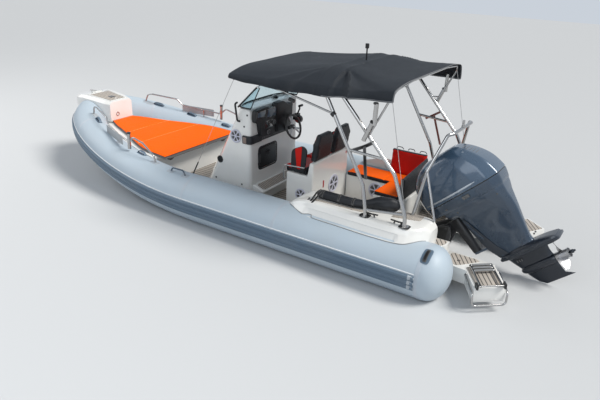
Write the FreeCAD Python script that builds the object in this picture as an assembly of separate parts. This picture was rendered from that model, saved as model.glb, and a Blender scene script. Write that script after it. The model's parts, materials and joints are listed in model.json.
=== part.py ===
"""Rigid inflatable boat with a helm console, a canopy on an arch and one outboard motor.

Millimetres. +X points to the bow, +Y to port and +Z up. The origin lies on the
centreline at the waterline, midway along the buoyancy tubes.
"""
import FreeCAD, Part
import math
import os

os.makedirs("parts", exist_ok=True)
Vector = FreeCAD.Vector

# Fit between pieces that touch
SEAT = 0.5          # gap round a piece that sits on the buoyancy tubes
SOFT_GAP = 0.3      # gap under a soft piece

# Buoyancy tubes: one U in plan, straight aft, an ellipse forward, rising to the bow
TUBE_LENGTH = 6934
TUBE_HALF_SPACING = 1031
TUBE_R_AFT = 308
TUBE_R_BOW = 248
TUBE_CENTRE_Z = 280
TUBE_STRAIGHT_END_X = 506
SHEER_START_X = 196
SHEER_RISE = 489
SHEER_POWER = 1.7
CAP_LENGTH = 235
TUBE_STERN_X = -TUBE_LENGTH / 2
TUBE_BOW_X = TUBE_LENGTH / 2 - TUBE_R_BOW
BEND_ANGLES = (0, 4, 8, 13, 18, 24, 31, 39, 48, 57, 66, 75, 83, 90)

# Rigid hull
KEEL_Z = -350
EYE_R = 20
EYE_T = 14
HULL_TRANSOM_X = TUBE_STERN_X + 517
SOLE_Z = 160
SOLE_T = 15
HULL_DECK_Z = SOLE_Z - SOLE_T
SPRAY_RAIL_W = 42
TRANSOM_T = 65
TRANSOM_TOP_Z = 290
TRANSOM_NOTCH_HALF = 330

# Rubbing strake
STRAKE_TOP_DEG = 13
STRAKE_RIB_DEG = 10.5
STRAKE_T = 22
STRAKE_GROOVE_T = 9
STRAKE_STERN_X = -3190

# Console
CONSOLE_AFT_X = -450
CONSOLE_HALF_W = 550
CONSOLE_WALL = 14
CONSOLE_TOP_Z = 1480
HATCH_W = 400
HATCH_H = 300
HATCH_Y = 165
HATCH_Z = 770
HATCH_GAP = 6
HATCH_T = 20
HINGE_X = CONSOLE_AFT_X - 12
HINGE_OFFSET = 12
HINGE_HALF = 60
HINGE_LUG = 30
HINGE_PIN_R = 4
LID_HINGE_AHEAD = 578
LID_HINGE_Z = 1072
WHEEL_R = 175
WHEEL_RIM_R = 13
WHEEL_Y = -150
WHEEL_Z = 1140
WHEEL_RAKE_DEG = 20
WHEEL_HUB_T = 46
WHEEL_SHAFT_R = 10

# Seats
POST_FRONT_X = -960
POST_AFT_X = -1370
POST_HALF_W = 450
POST_TOP_Z = 735
POST_BACK_Z = 920
HELM_BACK_TOP_Z = 1290
BENCH_TOP_Z = 525
BENCH_CUSHION_T = 60
BENCH_INNER_Y = -420
BENCH_OUTER_Y = 163 - TUBE_HALF_SPACING
BENCH_FRONT_X = -1380
BENCH_AFT_X = HULL_TRANSOM_X + 510
BACK_FACE_Y = 251 - TUBE_HALF_SPACING
COAMING_CUT_Y = 141 - TUBE_HALF_SPACING
COAMING_TOP_Z = 705
COAMING_AFT_X = HULL_TRANSOM_X - 180

SPEAKER_T = 14

# Foredeck and sunpad
FOREDECK_AFT_X = 1060
FOREDECK_FRONT_X = TUBE_BOW_X - 449
PAD_AFT_X = 900
PAD_T = 50
PAD_AFT_TOP_Z = 632
PAD_FRONT_TOP_Z = 722
STEP_AFT_X = TUBE_BOW_X - 529
PAD_FRONT_X = STEP_AFT_X - 8

# Arch and canopy, placed from the fore foot of the arch
ARCH_X = HULL_TRANSOM_X + 540
ARCH_FOOT_Y = TUBE_HALF_SPACING - 31
ARCH_TUBE_R = 21
CROSSBAR_R = 16
ARCH_BEND_R = 160
HOOP_Z = 2162
MAST_TOP_Z = 1600
CANOPY_T = 8
BOW_TUBE_R = 12
STAY_R = 3
LIGHT_X = ARCH_X + 630
LIGHT_FOOT = (LIGHT_X, 0, HOOP_Z - 12)
LIGHT_TOP = (LIGHT_X, 0, HOOP_Z + 178)
LIGHT_POLE_R = 9

# Rod holders: foot and top, and for those on the arch the point that carries each
HOLDER_R = 24
HOLDER_BORE_R = 20.5
ARCH_HOLDERS = (((ARCH_X - 30, ARCH_FOOT_Y + 10, 1745), (ARCH_X - 38, ARCH_FOOT_Y + 10, 1975),
                 (ARCH_X - 30, ARCH_FOOT_Y - 50, 1770)),
                ((ARCH_X + 80, ARCH_FOOT_Y + 12, 1560), (ARCH_X - 10, ARCH_FOOT_Y + 12, 1775),
                 (ARCH_X + 120, ARCH_FOOT_Y - 57, 1670)))
# distance aft of the bow, height over the tube's centre
BOW_HOLDER = ((1834, 320), (1844, 566))
BOW_HOLDER_OUT = 24

# Outboard motor, drawn upright and then tilted about the pivot
PIVOT_X = HULL_TRANSOM_X - 110
PIVOT_Z = 385
TILT_DEG = 42
STEER_BACK = 130
PIVOT_PIN_R = 18
KINGPIN_R = 24
SWIVEL_HIGH = 38
SWIVEL_LOW = -420
PAN_TOP = 169.4
PLATE_DOWN = 650
SHAFT_DOWN = 850
SKEG_DOWN = 1085
COWL_HALF_W = 285
COWL_WALL = 12
PROP_R = 190
PROP_SHAFT_R = 14
SHAFT_CLEARANCE = 0.08

# Stern platforms, set diagonally behind the tubes' ends
PLATFORM_TOP_Z = 280
PLATFORM_T = 170
ARM_OUTER_Y = 598
LADDER_LIFT = 34
LADDER_HINGE = 1.06
LADDER_AXLE_R = 9
# inner and outer corner near the tube, outer and inner corner away from it
PLATFORM_CORNERS = ((TUBE_STERN_X - 23, TUBE_HALF_SPACING - 351), (TUBE_STERN_X - 263, TUBE_HALF_SPACING + 29),
                    (TUBE_STERN_X - 523, TUBE_HALF_SPACING - 191), (TUBE_STERN_X - 283, TUBE_HALF_SPACING - 581))


def export(shape, node):
    """Write one node's solid to its STEP file."""
    shape.exportStep("parts/" + node + ".step")
    bounds = shape.BoundBox
    print("%-24s solids %2d volume %9.5f m3 x %6.0f..%6.0f y %6.0f..%6.0f z %6.0f..%6.0f %s" % (
        node, len(shape.Solids), shape.Volume / 1e9, bounds.XMin, bounds.XMax,
        bounds.YMin, bounds.YMax, bounds.ZMin, bounds.ZMax, "ok" if shape.isValid() else "INVALID"))


def vec(point):
    """A vector from any point of three numbers."""
    return Vector(*point)


def ring(points):
    """A closed polygon wire."""
    corners = [vec(p) for p in points]
    return Part.makePolygon(corners + corners[:1])


def loft(sections):
    """A solid with straight lines between matching corners of the sections."""
    return Part.makeLoft([ring(s) if not isinstance(s, Part.Wire) else s for s in sections], True, True)


def block(x0, x1, y0, y1, z0, z1):
    """A box from its limits."""
    return Part.makeBox(x1 - x0, y1 - y0, z1 - z0, Vector(x0, y0, z0))


def prism(points, axis, low, high):
    """A flat outline pushed from low to high along an axis; it lies in the other two axes."""
    place = {"x": lambda a, b: (low, a, b), "y": lambda a, b: (a, low, b), "z": lambda a, b: (a, b, low)}[axis]
    travel = {"x": Vector(high - low, 0, 0), "y": Vector(0, high - low, 0), "z": Vector(0, 0, high - low)}[axis]
    return Part.Face(ring([place(a, b) for a, b in points])).extrude(travel)


def rod(start, end, radius):
    """A round bar between two points."""
    a, b = vec(start), vec(end)
    return Part.makeCylinder(radius, (b - a).Length, a, b - a)


def tube(points, radius, bend):
    """A bent round bar: straight runs joined by tangent arcs."""
    corners = [vec(p) for p in points]
    edges = []
    cursor = corners[0]
    for before, corner, after in zip(corners, corners[1:], corners[2:]):
        back = (before - corner).normalize()
        ahead = (after - corner).normalize()
        half = back.getAngle(ahead) / 2
        if half > math.radians(89):
            continue
        reach = min(bend / math.tan(half), 0.45 * (before - corner).Length, 0.45 * (after - corner).Length)
        start, end = corner + back * reach, corner + ahead * reach
        middle_way = (back + ahead).normalize()
        arc_r = reach * math.tan(half)
        middle = corner + middle_way * (reach / math.cos(half) - arc_r)
        edges.append(Part.LineSegment(cursor, start).toShape())
        edges.append(Part.Arc(start, middle, end).toShape())
        cursor = end
    edges.append(Part.LineSegment(cursor, corners[-1]).toShape())
    path = Part.Wire(edges)
    profile = Part.Wire(Part.makeCircle(radius, corners[0], corners[1] - corners[0]))
    return path.makePipeShell([profile], True, False)


def fused(shapes):
    """One shape from several that touch or cross."""
    whole = shapes[0]
    if len(shapes) > 1:
        whole = shapes[0].multiFuse(shapes[1:])
    return whole.removeSplitter()


def mirrored(shape):
    """The same shape on the other side of the centreline."""
    return shape.mirror(Vector(0, 0, 0), Vector(0, 1, 0))


def both_sides(shape):
    """A shape and its mirror image, as solids that don't touch."""
    return Part.makeCompound(shape.Solids + mirrored(shape).Solids)


def tube_station(x=None, bend_deg=None):
    """Centre, plan direction and radius of the port tube at x, or where it has turned by bend_deg."""
    reach = TUBE_BOW_X - TUBE_STRAIGHT_END_X
    turn = math.radians(bend_deg or 0)
    theta = math.atan2(math.sin(turn) * reach, math.cos(turn) * TUBE_HALF_SPACING)
    y = TUBE_HALF_SPACING
    if bend_deg is not None:
        x = TUBE_STRAIGHT_END_X + reach * math.sin(theta)
        y = TUBE_HALF_SPACING * math.cos(theta)
    elif x > TUBE_STRAIGHT_END_X:
        share = (x - TUBE_STRAIGHT_END_X) / reach
        y = TUBE_HALF_SPACING * math.sqrt(max(0.0, 1 - share * share))
        turn = math.atan2(TUBE_HALF_SPACING * share, reach * math.sqrt(max(1e-9, 1 - share * share)))
    rise = max(0.0, (x - SHEER_START_X) / (TUBE_BOW_X - SHEER_START_X))
    z = TUBE_CENTRE_Z + SHEER_RISE * rise ** SHEER_POWER
    radius = TUBE_R_AFT + (TUBE_R_BOW - TUBE_R_AFT) * max(0.0, x / TUBE_BOW_X)
    return (x, y, z), turn, radius


def over_tube(from_bow, out, up):
    """A point at a distance aft of the bow, set out and up from the port tube's centre."""
    (x, y, z), _, _ = tube_station(x=TUBE_BOW_X - from_bow)
    return (x, y + out, z + up)


def tube_stations(stern_x):
    """The port tube's stations from stern_x to the bow."""
    straight = [tube_station(x=x) for x in (stern_x, 0, SHEER_START_X)]
    return straight + [tube_station(bend_deg=a) for a in BEND_ANGLES]


def across_tube(station, angle_deg, radius):
    """A point round a station's centre: 0 degrees is outboard and 90 is up."""
    (x, y, z), turn, _ = station
    out = radius * math.cos(math.radians(angle_deg))
    return (x + out * math.sin(turn), y + out * math.cos(turn), z + radius * math.sin(math.radians(angle_deg)))


def tube_circle(station, grow):
    """The tube's round section at a station."""
    (x, y, z), turn, radius = station
    circle = Part.makeCircle(radius + grow)
    ahead = Vector(math.cos(turn), -math.sin(turn), 0)
    outboard = Vector(math.sin(turn), math.cos(turn), 0)
    place = FreeCAD.Matrix(outboard.x, 0, ahead.x, x, outboard.y, 0, ahead.y, y, 0, 1, 0, z, 0, 0, 0, 1)
    if place.determinant() < 0:
        place = FreeCAD.Matrix(-outboard.x, 0, ahead.x, x, -outboard.y, 0, ahead.y, y, 0, 1, 0, z, 0, 0, 0, 1)
    circle.Placement = FreeCAD.Placement(place)
    return Part.Wire(circle)


def port_tube(grow=0.0):
    """The port half of the buoyancy tube with its rounded stern cap."""
    cap_x = TUBE_STERN_X + CAP_LENGTH
    body = Part.makeLoft([tube_circle(s, grow) for s in tube_stations(cap_x)], True, True)
    radius = TUBE_R_AFT + grow
    length = CAP_LENGTH + grow
    quarter = [(math.cos(math.radians(a)), math.sin(math.radians(a))) for a in (0, 22, 45, 66, 90)]
    profile = [(cap_x - length * s, TUBE_HALF_SPACING, TUBE_CENTRE_Z + radius * c) for c, s in quarter]
    profile[-1] = (cap_x - length, TUBE_HALF_SPACING, TUBE_CENTRE_Z)
    face = Part.Face(ring(profile + [(cap_x, TUBE_HALF_SPACING, TUBE_CENTRE_Z)]))
    cap = face.revolve(Vector(cap_x, TUBE_HALF_SPACING, TUBE_CENTRE_Z), Vector(1, 0, 0), 360)
    return fused([body, cap])


TUBE_PORT = port_tube()
TUBE_TOOL_PORT = port_tube(SEAT)
TUBE_TOOL_STARBOARD = mirrored(TUBE_TOOL_PORT)


def off_the_tubes(shape, port=True, starboard=True):
    """A shape cut back so that it seats on the buoyancy tubes."""
    if port:
        shape = shape.cut(TUBE_TOOL_PORT)
    if starboard:
        shape = shape.cut(TUBE_TOOL_STARBOARD)
    return shape


def biggest(shape):
    """The largest solid, without offcuts."""
    return max(shape.Solids, key=lambda s: s.Volume)


def make_tubes():
    """Two air tubes that meet on the centreline at the bow."""
    export(TUBE_PORT, "tube_port")
    export(mirrored(TUBE_PORT), "tube_starboard")


def make_strakes():
    """Rubbing strake with three ribs along each tube, to the bow."""
    rib = STRAKE_RIB_DEG
    profile = []
    for index in range(3):
        top = STRAKE_TOP_DEG - index * rib
        profile += [(top, STRAKE_GROOVE_T), (top - 0.2 * rib, STRAKE_T), (top - 0.75 * rib, STRAKE_T)]
    low = STRAKE_TOP_DEG - 3 * rib
    profile.append((low, STRAKE_GROOVE_T))
    inner = [(low + (STRAKE_TOP_DEG - low) * i / 6, SEAT + 0.6) for i in range(7)]
    sections = []
    for station in tube_stations(STRAKE_STERN_X):
        radius = station[2]
        sections.append([across_tube(station, a, radius + t) for a, t in profile + inner])
    strake = loft(sections)
    export(strake, "strake_port")
    export(mirrored(strake), "strake_starboard")


# x, keel height, deck height, spray rail width
HULL_TABLE = ((HULL_TRANSOM_X, KEEL_Z, HULL_DECK_Z, SPRAY_RAIL_W), (-900, KEEL_Z, HULL_DECK_Z, SPRAY_RAIL_W),
              (500, KEEL_Z, HULL_DECK_Z, SPRAY_RAIL_W), (FOREDECK_AFT_X, KEEL_Z + 6, HULL_DECK_Z, SPRAY_RAIL_W),
              (TUBE_BOW_X - 1519, -305, 200, 38), (TUBE_BOW_X - 969, -190, 330, 32),
              (TUBE_BOW_X - 519, 5, 470, 22), (TUBE_BOW_X - 219, 215, 580, 12), (TUBE_BOW_X - 29, 400, 640, 5))


def hull_section(x, keel_z, deck_z, rail_w):
    """Half a hull section at x: keel, two spray rails, chine flat, side under the tube and deck."""
    (_, yc, zc), _, radius = tube_station(x=min(x, TUBE_BOW_X - 5))
    chine_y = max(28, min(0.78 * TUBE_HALF_SPACING, yc - 0.42 * radius))
    chine_z = zc - 0.907 * radius - 52
    rail_w = min(rail_w, 0.12 * chine_y)
    rise = lambda y: keel_z + (chine_z - keel_z) * y / chine_y
    half = [(0, keel_z)]
    for share in (0.36, 0.68):
        inner = share * chine_y
        half += [(inner, rise(inner)), (inner + rail_w, rise(inner)), (inner + rail_w, rise(inner + rail_w))]
    flat = chine_y - 1.2 * rail_w
    half += [(flat, rise(flat)), (chine_y, rise(flat)), (max(30, yc - 0.42 * radius), zc - 0.8 * radius)]
    half += [(max(26, yc - 0.6 * radius), deck_z), (0, deck_z)]
    port = [(x, y, z) for y, z in half]
    starboard = [(x, -y, z) for y, z in half[1:-1]]
    return port + starboard[::-1]


def make_hull():
    """Deep V hull, decked, with its sides cut to the tubes."""
    hull = loft([hull_section(*row) for row in HULL_TABLE])
    hull = biggest(off_the_tubes(hull))
    export(hull, "hull")
    return hull


def make_sole():
    """Flat cockpit floor between the tubes."""
    sole = block(HULL_TRANSOM_X + TRANSOM_T, FOREDECK_AFT_X, -820, 820, SOLE_Z - SOLE_T, SOLE_Z)
    export(biggest(off_the_tubes(sole)), "cockpit_sole")


def make_transom():
    """Transom with the notch that the motor hangs in."""
    outline = [(-760, SOLE_Z - SOLE_T), (760, SOLE_Z - SOLE_T), (760, 540), (500, 540),
               (TRANSOM_NOTCH_HALF + 60, 500), (TRANSOM_NOTCH_HALF, TRANSOM_TOP_Z),
               (-TRANSOM_NOTCH_HALF, TRANSOM_TOP_Z), (-TRANSOM_NOTCH_HALF - 60, 500), (-500, 540), (-760, 540)]
    plate = prism(outline, "x", HULL_TRANSOM_X, HULL_TRANSOM_X + TRANSOM_T)
    export(biggest(off_the_tubes(plate)), "transom")


def make_foredeck(hull):
    """Moulded locker between the tubes under the sunpad."""
    drop = PAD_T + SOFT_GAP
    aft_z = PAD_AFT_TOP_Z - drop
    slope = (PAD_FRONT_TOP_Z - PAD_AFT_TOP_Z) / (PAD_FRONT_X - PAD_AFT_X)
    top = lambda x: aft_z + slope * (x - PAD_AFT_X)
    # share of the length, half width
    table = ((0, 905), (0.374, 880), (0.696, 640), (0.959, 420), (1, 390))
    low = HULL_DECK_Z - 40
    sections = []
    for share, w in table:
        x = FOREDECK_AFT_X + share * (FOREDECK_FRONT_X - FOREDECK_AFT_X)
        sections.append([(x, -w, low), (x, w, low), (x, w, top(x)), (x, -w, top(x))])
    deck = biggest(off_the_tubes(loft(sections).cut(hull)))
    export(deck, "foredeck")
    pad_outline = [(PAD_AFT_X + share * (PAD_FRONT_X - PAD_AFT_X), half)
                   for share, half in ((0, 810), (0.269, 760), (0.673, 450), (0.887, 300), (1, 200))]
    outline = pad_outline + [(x, -y) for x, y in pad_outline[::-1]]
    under = [(x, y, top(x) + SOFT_GAP) for x, y in outline]
    pad = loft([under, [(x, y, z + PAD_T) for x, y, z in under]])
    export(off_the_tubes(pad), "sunpad")
    bracket = block(FOREDECK_AFT_X - 130, FOREDECK_AFT_X, 560, 600, 500, aft_z)
    wedge = prism([(FOREDECK_AFT_X, 430), (FOREDECK_AFT_X, aft_z), (FOREDECK_AFT_X - 130, aft_z),
                   (FOREDECK_AFT_X - 130, aft_z - 20)], "y", 560, 600)
    board = block(PAD_AFT_X, FOREDECK_AFT_X, -700, 700, aft_z - 14, aft_z)
    export(fused([bracket.common(wedge), mirrored(bracket.common(wedge)), board]), "sunpad_support")
    return deck


def make_bow_step(deck):
    """White moulding over the tubes' bow, with a planked lid hinged in its top."""
    # distance from its aft end, half width, bottom, top
    table = ((0, 225, 690, 1010), (170, 270, 690, 1030), (550, 300, 800, 1060), (750, 285, 880, 1045),
             (786, 250, 900, 1000))
    at = lambda ahead: STEP_AFT_X + ahead
    sections = [[(at(a), -w, zb), (at(a), w, zb), (at(a), w, zt - 40), (at(a), w - 40, zt),
                 (at(a), -w + 40, zt), (at(a), -w, zt - 40)] for a, w, zb, zt in table]
    step = loft(sections)
    slot = loft([[(at(a), -w, z), (at(a), w, z), (at(a), w, z + 80), (at(a), -w, z + 80)]
                 for a, w, z in ((40, 172, 995), (580, 222, 1040))])
    step = biggest(off_the_tubes(step).cut(slot))
    foot = block(at(10), at(90), -150, 150, 600, 760).cut(deck)
    axis_x, axis_z = at(LID_HINGE_AHEAD), LID_HINGE_Z
    pin_line = lambda reach, radius: rod((axis_x, -reach, axis_z), (axis_x, reach, axis_z), radius)
    reach = HINGE_HALF + HINGE_LUG
    lugs = [block(axis_x - 8, axis_x + 24, low, low + HINGE_LUG, 1035, axis_z + 8) for low in (HINGE_HALF, -reach)]
    step = biggest(off_the_tubes(fused([step, foot] + lugs)))
    step = step.cut(pin_line(reach + 40, HINGE_PIN_R + SHAFT_CLEARANCE))
    export(biggest(step), "bow_step")
    lid = loft([[(at(a), -w, z), (at(a), w, z), (at(a), w, z + 22), (at(a), -w, z + 22)]
                for a, w, z in ((48, 166, 996.6), (572, 214, 1040.3))])
    notches = [block(axis_x - 14, axis_x + 40, low - 6, low + HINGE_LUG + 6, 1000, 1100)
               for low in (HINGE_HALF, -reach)]
    latch = block(at(100), at(160), -20, 20, 1018, 1030)
    leaf = block(axis_x - 50, axis_x, 1 - HINGE_HALF, HINGE_HALF - 1, axis_z - 18, axis_z - 3)
    export(fused([lid.cut(notches), latch, leaf, pin_line(HINGE_HALF - 1, 7), pin_line(reach, HINGE_PIN_R)]),
           "locker_lid")


def console_ring(z, grow):
    """A level section of the console, chamfered forward."""
    t = (z - SOLE_Z) / (CONSOLE_TOP_Z - SOLE_Z)
    front = 560 - 720 * t
    shoulder = front - 190 + 60 * t
    half = CONSOLE_HALF_W + grow
    nose = 330 - 20 * t + grow
    aft = CONSOLE_AFT_X - grow
    return [(aft, -half, z), (aft, half, z), (shoulder, half, z), (front + grow, nose, z),
            (front + grow, -nose, z), (shoulder, -half, z)]


def make_console():
    """Hollow helm console with a hatch opening in its aft face."""
    levels = (SOLE_Z, 800, CONSOLE_TOP_Z)
    shell = loft([console_ring(z, 0) for z in levels])
    inside = loft([console_ring(z, -CONSOLE_WALL) for z in (SOLE_Z - 5, 800, CONSOLE_TOP_Z - CONSOLE_WALL)])
    opening = block(CONSOLE_AFT_X - 30, CONSOLE_AFT_X + 60, HATCH_Y - HATCH_W / 2, HATCH_Y + HATCH_W / 2,
                    HATCH_Z - HATCH_H / 2, HATCH_Z + HATCH_H / 2)
    axis_y = HATCH_Y + HATCH_W / 2 + HINGE_OFFSET
    pin_line = lambda reach, radius: rod((HINGE_X, axis_y, HATCH_Z - reach), (HINGE_X, axis_y, HATCH_Z + reach), radius)
    lugs = [block(HINGE_X - 8, CONSOLE_AFT_X, axis_y - 8, axis_y + 8, HATCH_Z + low, HATCH_Z + low + HINGE_LUG)
            for low in (-HINGE_HALF - HINGE_LUG, HINGE_HALF)]
    body = fused([biggest(shell.cut(inside).cut(opening))] + lugs)
    body = body.cut(pin_line(HATCH_H, HINGE_PIN_R + SHAFT_CLEARANCE).common(fused(lugs)))
    export(biggest(body), "console")
    gap = HATCH_GAP
    door = block(CONSOLE_AFT_X - 6, CONSOLE_AFT_X - 6 + HATCH_T, HATCH_Y - HATCH_W / 2 + gap,
                 HATCH_Y + HATCH_W / 2 - gap, HATCH_Z - HATCH_H / 2 + gap, HATCH_Z + HATCH_H / 2 - gap)
    leaf = block(HINGE_X - 3, CONSOLE_AFT_X - 4, axis_y - 40, axis_y, HATCH_Z - HINGE_HALF + 1,
                 HATCH_Z + HINGE_HALF - 1)
    barrel = pin_line(HINGE_HALF - 1, 7)
    pin = pin_line(HINGE_HALF + HINGE_LUG, HINGE_PIN_R)
    knob = rod((CONSOLE_AFT_X - 22, HATCH_Y - HATCH_W / 2 + 40, HATCH_Z),
               (CONSOLE_AFT_X - 2, HATCH_Y - HATCH_W / 2 + 40, HATCH_Z), 17)
    export(fused([door, leaf, barrel, pin, knob]), "console_hatch")


def make_helm():
    """Dash pod, windscreen, steering wheel, throttle and foot step."""
    face = CONSOLE_AFT_X
    pod = prism([(face, 1060), (face, 1440), (face - 30, 1470), (face - 95, 1420), (face - 60, 1100),
                 (face - 25, 1060)], "y", -470, 440)
    export(pod, "dash")
    lean = 250
    outer = [[(x + dx, y, z) for x, y in ((-445, 535), (-270, 535), (-170, 320), (-170, -320), (-270, -535),
                                          (-445, -535))]
             for dx, z in ((0, CONSOLE_TOP_Z), (-lean, 1790))]
    thin = 8
    inner = [[(x + dx, y, z) for x, y in ((-446, 535 - thin), (-274, 535 - thin), (-170 - thin, 316),
                                          (-170 - thin, -316), (-274, -535 + thin), (-446, -535 + thin))]
             for dx, z in ((1, CONSOLE_TOP_Z - 1), (-lean - 1, 1791))]
    screen = loft(outer).cut(loft(inner))
    export(biggest(screen), "windscreen")
    rake = math.radians(WHEEL_RAKE_DEG)
    forward = Vector(math.cos(rake), 0, -math.sin(rake))
    centre = Vector(face - 205, WHEEL_Y, WHEEL_Z)
    rim = Part.makeTorus(WHEEL_R - WHEEL_RIM_R, WHEEL_RIM_R, centre, forward)
    hub = Part.makeCylinder(34, WHEEL_HUB_T, centre - forward * 8, forward)
    side = Vector(0, 1, 0)
    up = forward.cross(side)
    spokes = []
    for angle in (90, 210, 330):
        way = side * math.cos(math.radians(angle)) + up * math.sin(math.radians(angle))
        spokes.append(Part.makeCylinder(8, WHEEL_R - WHEEL_RIM_R, centre + forward * 6, way))
    bore = Part.makeCylinder(WHEEL_SHAFT_R + SHAFT_CLEARANCE, WHEEL_HUB_T - 16, centre + forward * 8, forward)
    export(fused([rim, hub] + spokes).cut(bore), "steering_wheel")
    column = fused([Part.makeCylinder(22, 170, centre + forward * (WHEEL_HUB_T - 6), forward),
                    Part.makeCylinder(WHEEL_SHAFT_R, 170, centre + forward * 14, forward)])
    column = column.cut(block(face, face + 400, -500, 500, 900, 1500))
    export(biggest(column.cut(pod)), "steering_column")
    lever = tube([(face - 110, -380, 1250), (face - 150, -380, 1340), (face - 165, -350, 1380)], 11, 20)
    grip = rod((face - 168, -415, 1385), (face - 168, -335, 1385), 17)
    base_plate = block(face - 130, face - 50, -430, -330, 1180, 1262).cut(pod)
    export(biggest(fused([base_plate, lever, grip])), "throttle")
    step = prism([(face, SOLE_Z), (face, 440), (face - 40, 440), (face - 190, 385), (face - 190, 355),
                  (face - 60, 340), (face - 60, SOLE_Z)], "y", -CONSOLE_HALF_W + 40, CONSOLE_HALF_W - 40)
    export(step, "foot_step")


def make_leaning_post():
    """Helm seat box, cushions and two seat backs."""
    outline = [(POST_FRONT_X, SOLE_Z), (POST_FRONT_X, POST_TOP_Z), (POST_AFT_X + 90, POST_TOP_Z),
               (POST_AFT_X + 60, POST_BACK_Z), (POST_AFT_X, POST_BACK_Z), (POST_AFT_X, SOLE_Z)]
    export(prism(outline, "y", -POST_HALF_W, POST_HALF_W), "seat_box")
    seat = block(POST_FRONT_X - 300, POST_FRONT_X + 20, 15, POST_HALF_W - 15, POST_TOP_Z + SOFT_GAP, POST_TOP_Z + 95)
    export(both_sides(seat), "helm_cushions")
    low, high = POST_BACK_Z + SOFT_GAP, HELM_BACK_TOP_Z
    back = loft([[(POST_AFT_X + 66, 30, low), (POST_AFT_X + 66, POST_HALF_W - 25, low),
                  (POST_AFT_X - 4, POST_HALF_W - 25, low), (POST_AFT_X - 4, 30, low)],
                 [(POST_AFT_X + 40, 30, high - 120), (POST_AFT_X + 40, POST_HALF_W - 25, high - 120),
                  (POST_AFT_X - 45, POST_HALF_W - 25, high - 120), (POST_AFT_X - 45, 30, high - 120)],
                 [(POST_AFT_X + 15, 95, high), (POST_AFT_X + 15, POST_HALF_W - 90, high),
                  (POST_AFT_X - 40, POST_HALF_W - 90, high), (POST_AFT_X - 40, 95, high)]])
    export(both_sides(back), "helm_backs")
    rail_y = POST_HALF_W + 30
    rail = tube([(POST_FRONT_X + 10, POST_HALF_W, 640), (POST_FRONT_X + 10, rail_y, 640),
                 (POST_FRONT_X + 10, rail_y, 830), (POST_AFT_X + 120, rail_y, 850),
                 (POST_AFT_X + 120, POST_HALF_W, 850)], 11, 30)
    rail = rail.cut(prism(outline, "y", -POST_HALF_W, POST_HALF_W))
    export(both_sides(rail), "seat_rails")


def make_bench():
    """Starboard bench along the tube, with seat, side back and stern back."""
    bench = block(BENCH_AFT_X, BENCH_FRONT_X - 1, BENCH_OUTER_Y, BENCH_INNER_Y, SOLE_Z, BENCH_TOP_Z)
    stern = block(BENCH_AFT_X, BENCH_AFT_X + 420, BENCH_INNER_Y - 1, 20, SOLE_Z, BENCH_TOP_Z)
    bench = biggest(off_the_tubes(fused([bench, stern])))
    export(bench, "bench_box")
    low, high = BENCH_TOP_Z + SOFT_GAP, BENCH_TOP_Z + BENCH_CUSHION_T
    seat_outline = [(BENCH_FRONT_X - 4, BENCH_INNER_Y + 6), (BENCH_FRONT_X - 4, BACK_FACE_Y), (BENCH_AFT_X + 75, BACK_FACE_Y),
                    (BENCH_AFT_X + 75, 15), (BENCH_AFT_X + 410, 15), (BENCH_AFT_X + 410, BENCH_INNER_Y + 6)]
    seat = prism(seat_outline, "z", low, high)
    export(biggest(off_the_tubes(seat)), "bench_cushion")
    # z, inner y, outer y
    rear = COAMING_CUT_Y + SOFT_GAP
    lean = ((low, BACK_FACE_Y - 5, BACK_FACE_Y - 60), (600, BACK_FACE_Y - 10, rear), (905, BACK_FACE_Y - 45, rear))
    fore, aft = BENCH_AFT_X + 590, BENCH_AFT_X + 75
    side = loft([[(fore, a, z), (aft, a, z), (aft, b, z), (fore, b, z)] for z, a, b in lean])
    export(side, "side_back")
    # height at the port end, height at the starboard end, aft face, fore face
    levels = ((low, low, 18, 70), (700, 740, 24, 66), (830, 900, 30, 56))
    stern = loft([[(BENCH_AFT_X + f, 15, zp), (BENCH_AFT_X + f, BACK_FACE_Y, zs), (BENCH_AFT_X + a, BACK_FACE_Y, zs),
                   (BENCH_AFT_X + a, 15, zp)] for zp, zs, a, f in levels])
    export(stern, "stern_back")


def coaming_section(x, top, inner, outer):
    """Section of a side moulding that sits over a tube."""
    return [(x, inner + 30, SOLE_Z + 100), (x, inner, top - 60), (x, inner + 25, top), (x, outer - 60, top),
            (x, outer, top - 40), (x, outer + 95, top - 150), (x, outer - 60, top - 260), (x, 800, SOLE_Z + 60)]


def make_coamings():
    """White mouldings over the tubes aft, which carry the arch."""
    # distance ahead of the transom, top height, inner and outer edge from the tube's centre line
    top = COAMING_TOP_Z
    table = ((1560, 610, -341, -21), (1250, top, -411, 19), (350, top, -421, 29), (-70, top, -431, 24),
             (COAMING_AFT_X - HULL_TRANSOM_X, top, -416, 4))
    moulding = loft([coaming_section(HULL_TRANSOM_X + ahead, z, TUBE_HALF_SPACING + a, TUBE_HALF_SPACING + b)
                     for ahead, z, a, b in table])
    port = biggest(off_the_tubes(moulding, starboard=False))
    port = port.cut(prism([(-830, 100), (830, 100), (830, 545), (-830, 545)], "x",
                          HULL_TRANSOM_X - 1, HULL_TRANSOM_X + TRANSOM_T + 1))
    export(biggest(port), "coaming_port")
    starboard = mirrored(biggest(port)).cut(block(BENCH_AFT_X - 1, HULL_TRANSOM_X + 1700, COAMING_CUT_Y, 0, 0, 1200))
    export(biggest(starboard), "coaming_starboard")
    thin, thick = 52, 78
    thin_z, thick_z = top + thin + SOFT_GAP, top + thick + SOFT_GAP
    y = TUBE_HALF_SPACING - 155
    roll = tube([(ARCH_X + 690, y, thin_z), (ARCH_X + 240, y - 4, thin_z), (ARCH_X + 110, y - 30, thin_z),
                 (ARCH_X - 40, y - 110, thin_z)], thin, 160)
    bulge = [(ARCH_X - 10, y - 106, thick_z), (ARCH_X - 250, y - 170, thick_z)]
    export(fused([roll, rod(*bulge, thick)] + [Part.makeSphere(thick, vec(end)) for end in bulge]), "cover_roll")


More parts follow.
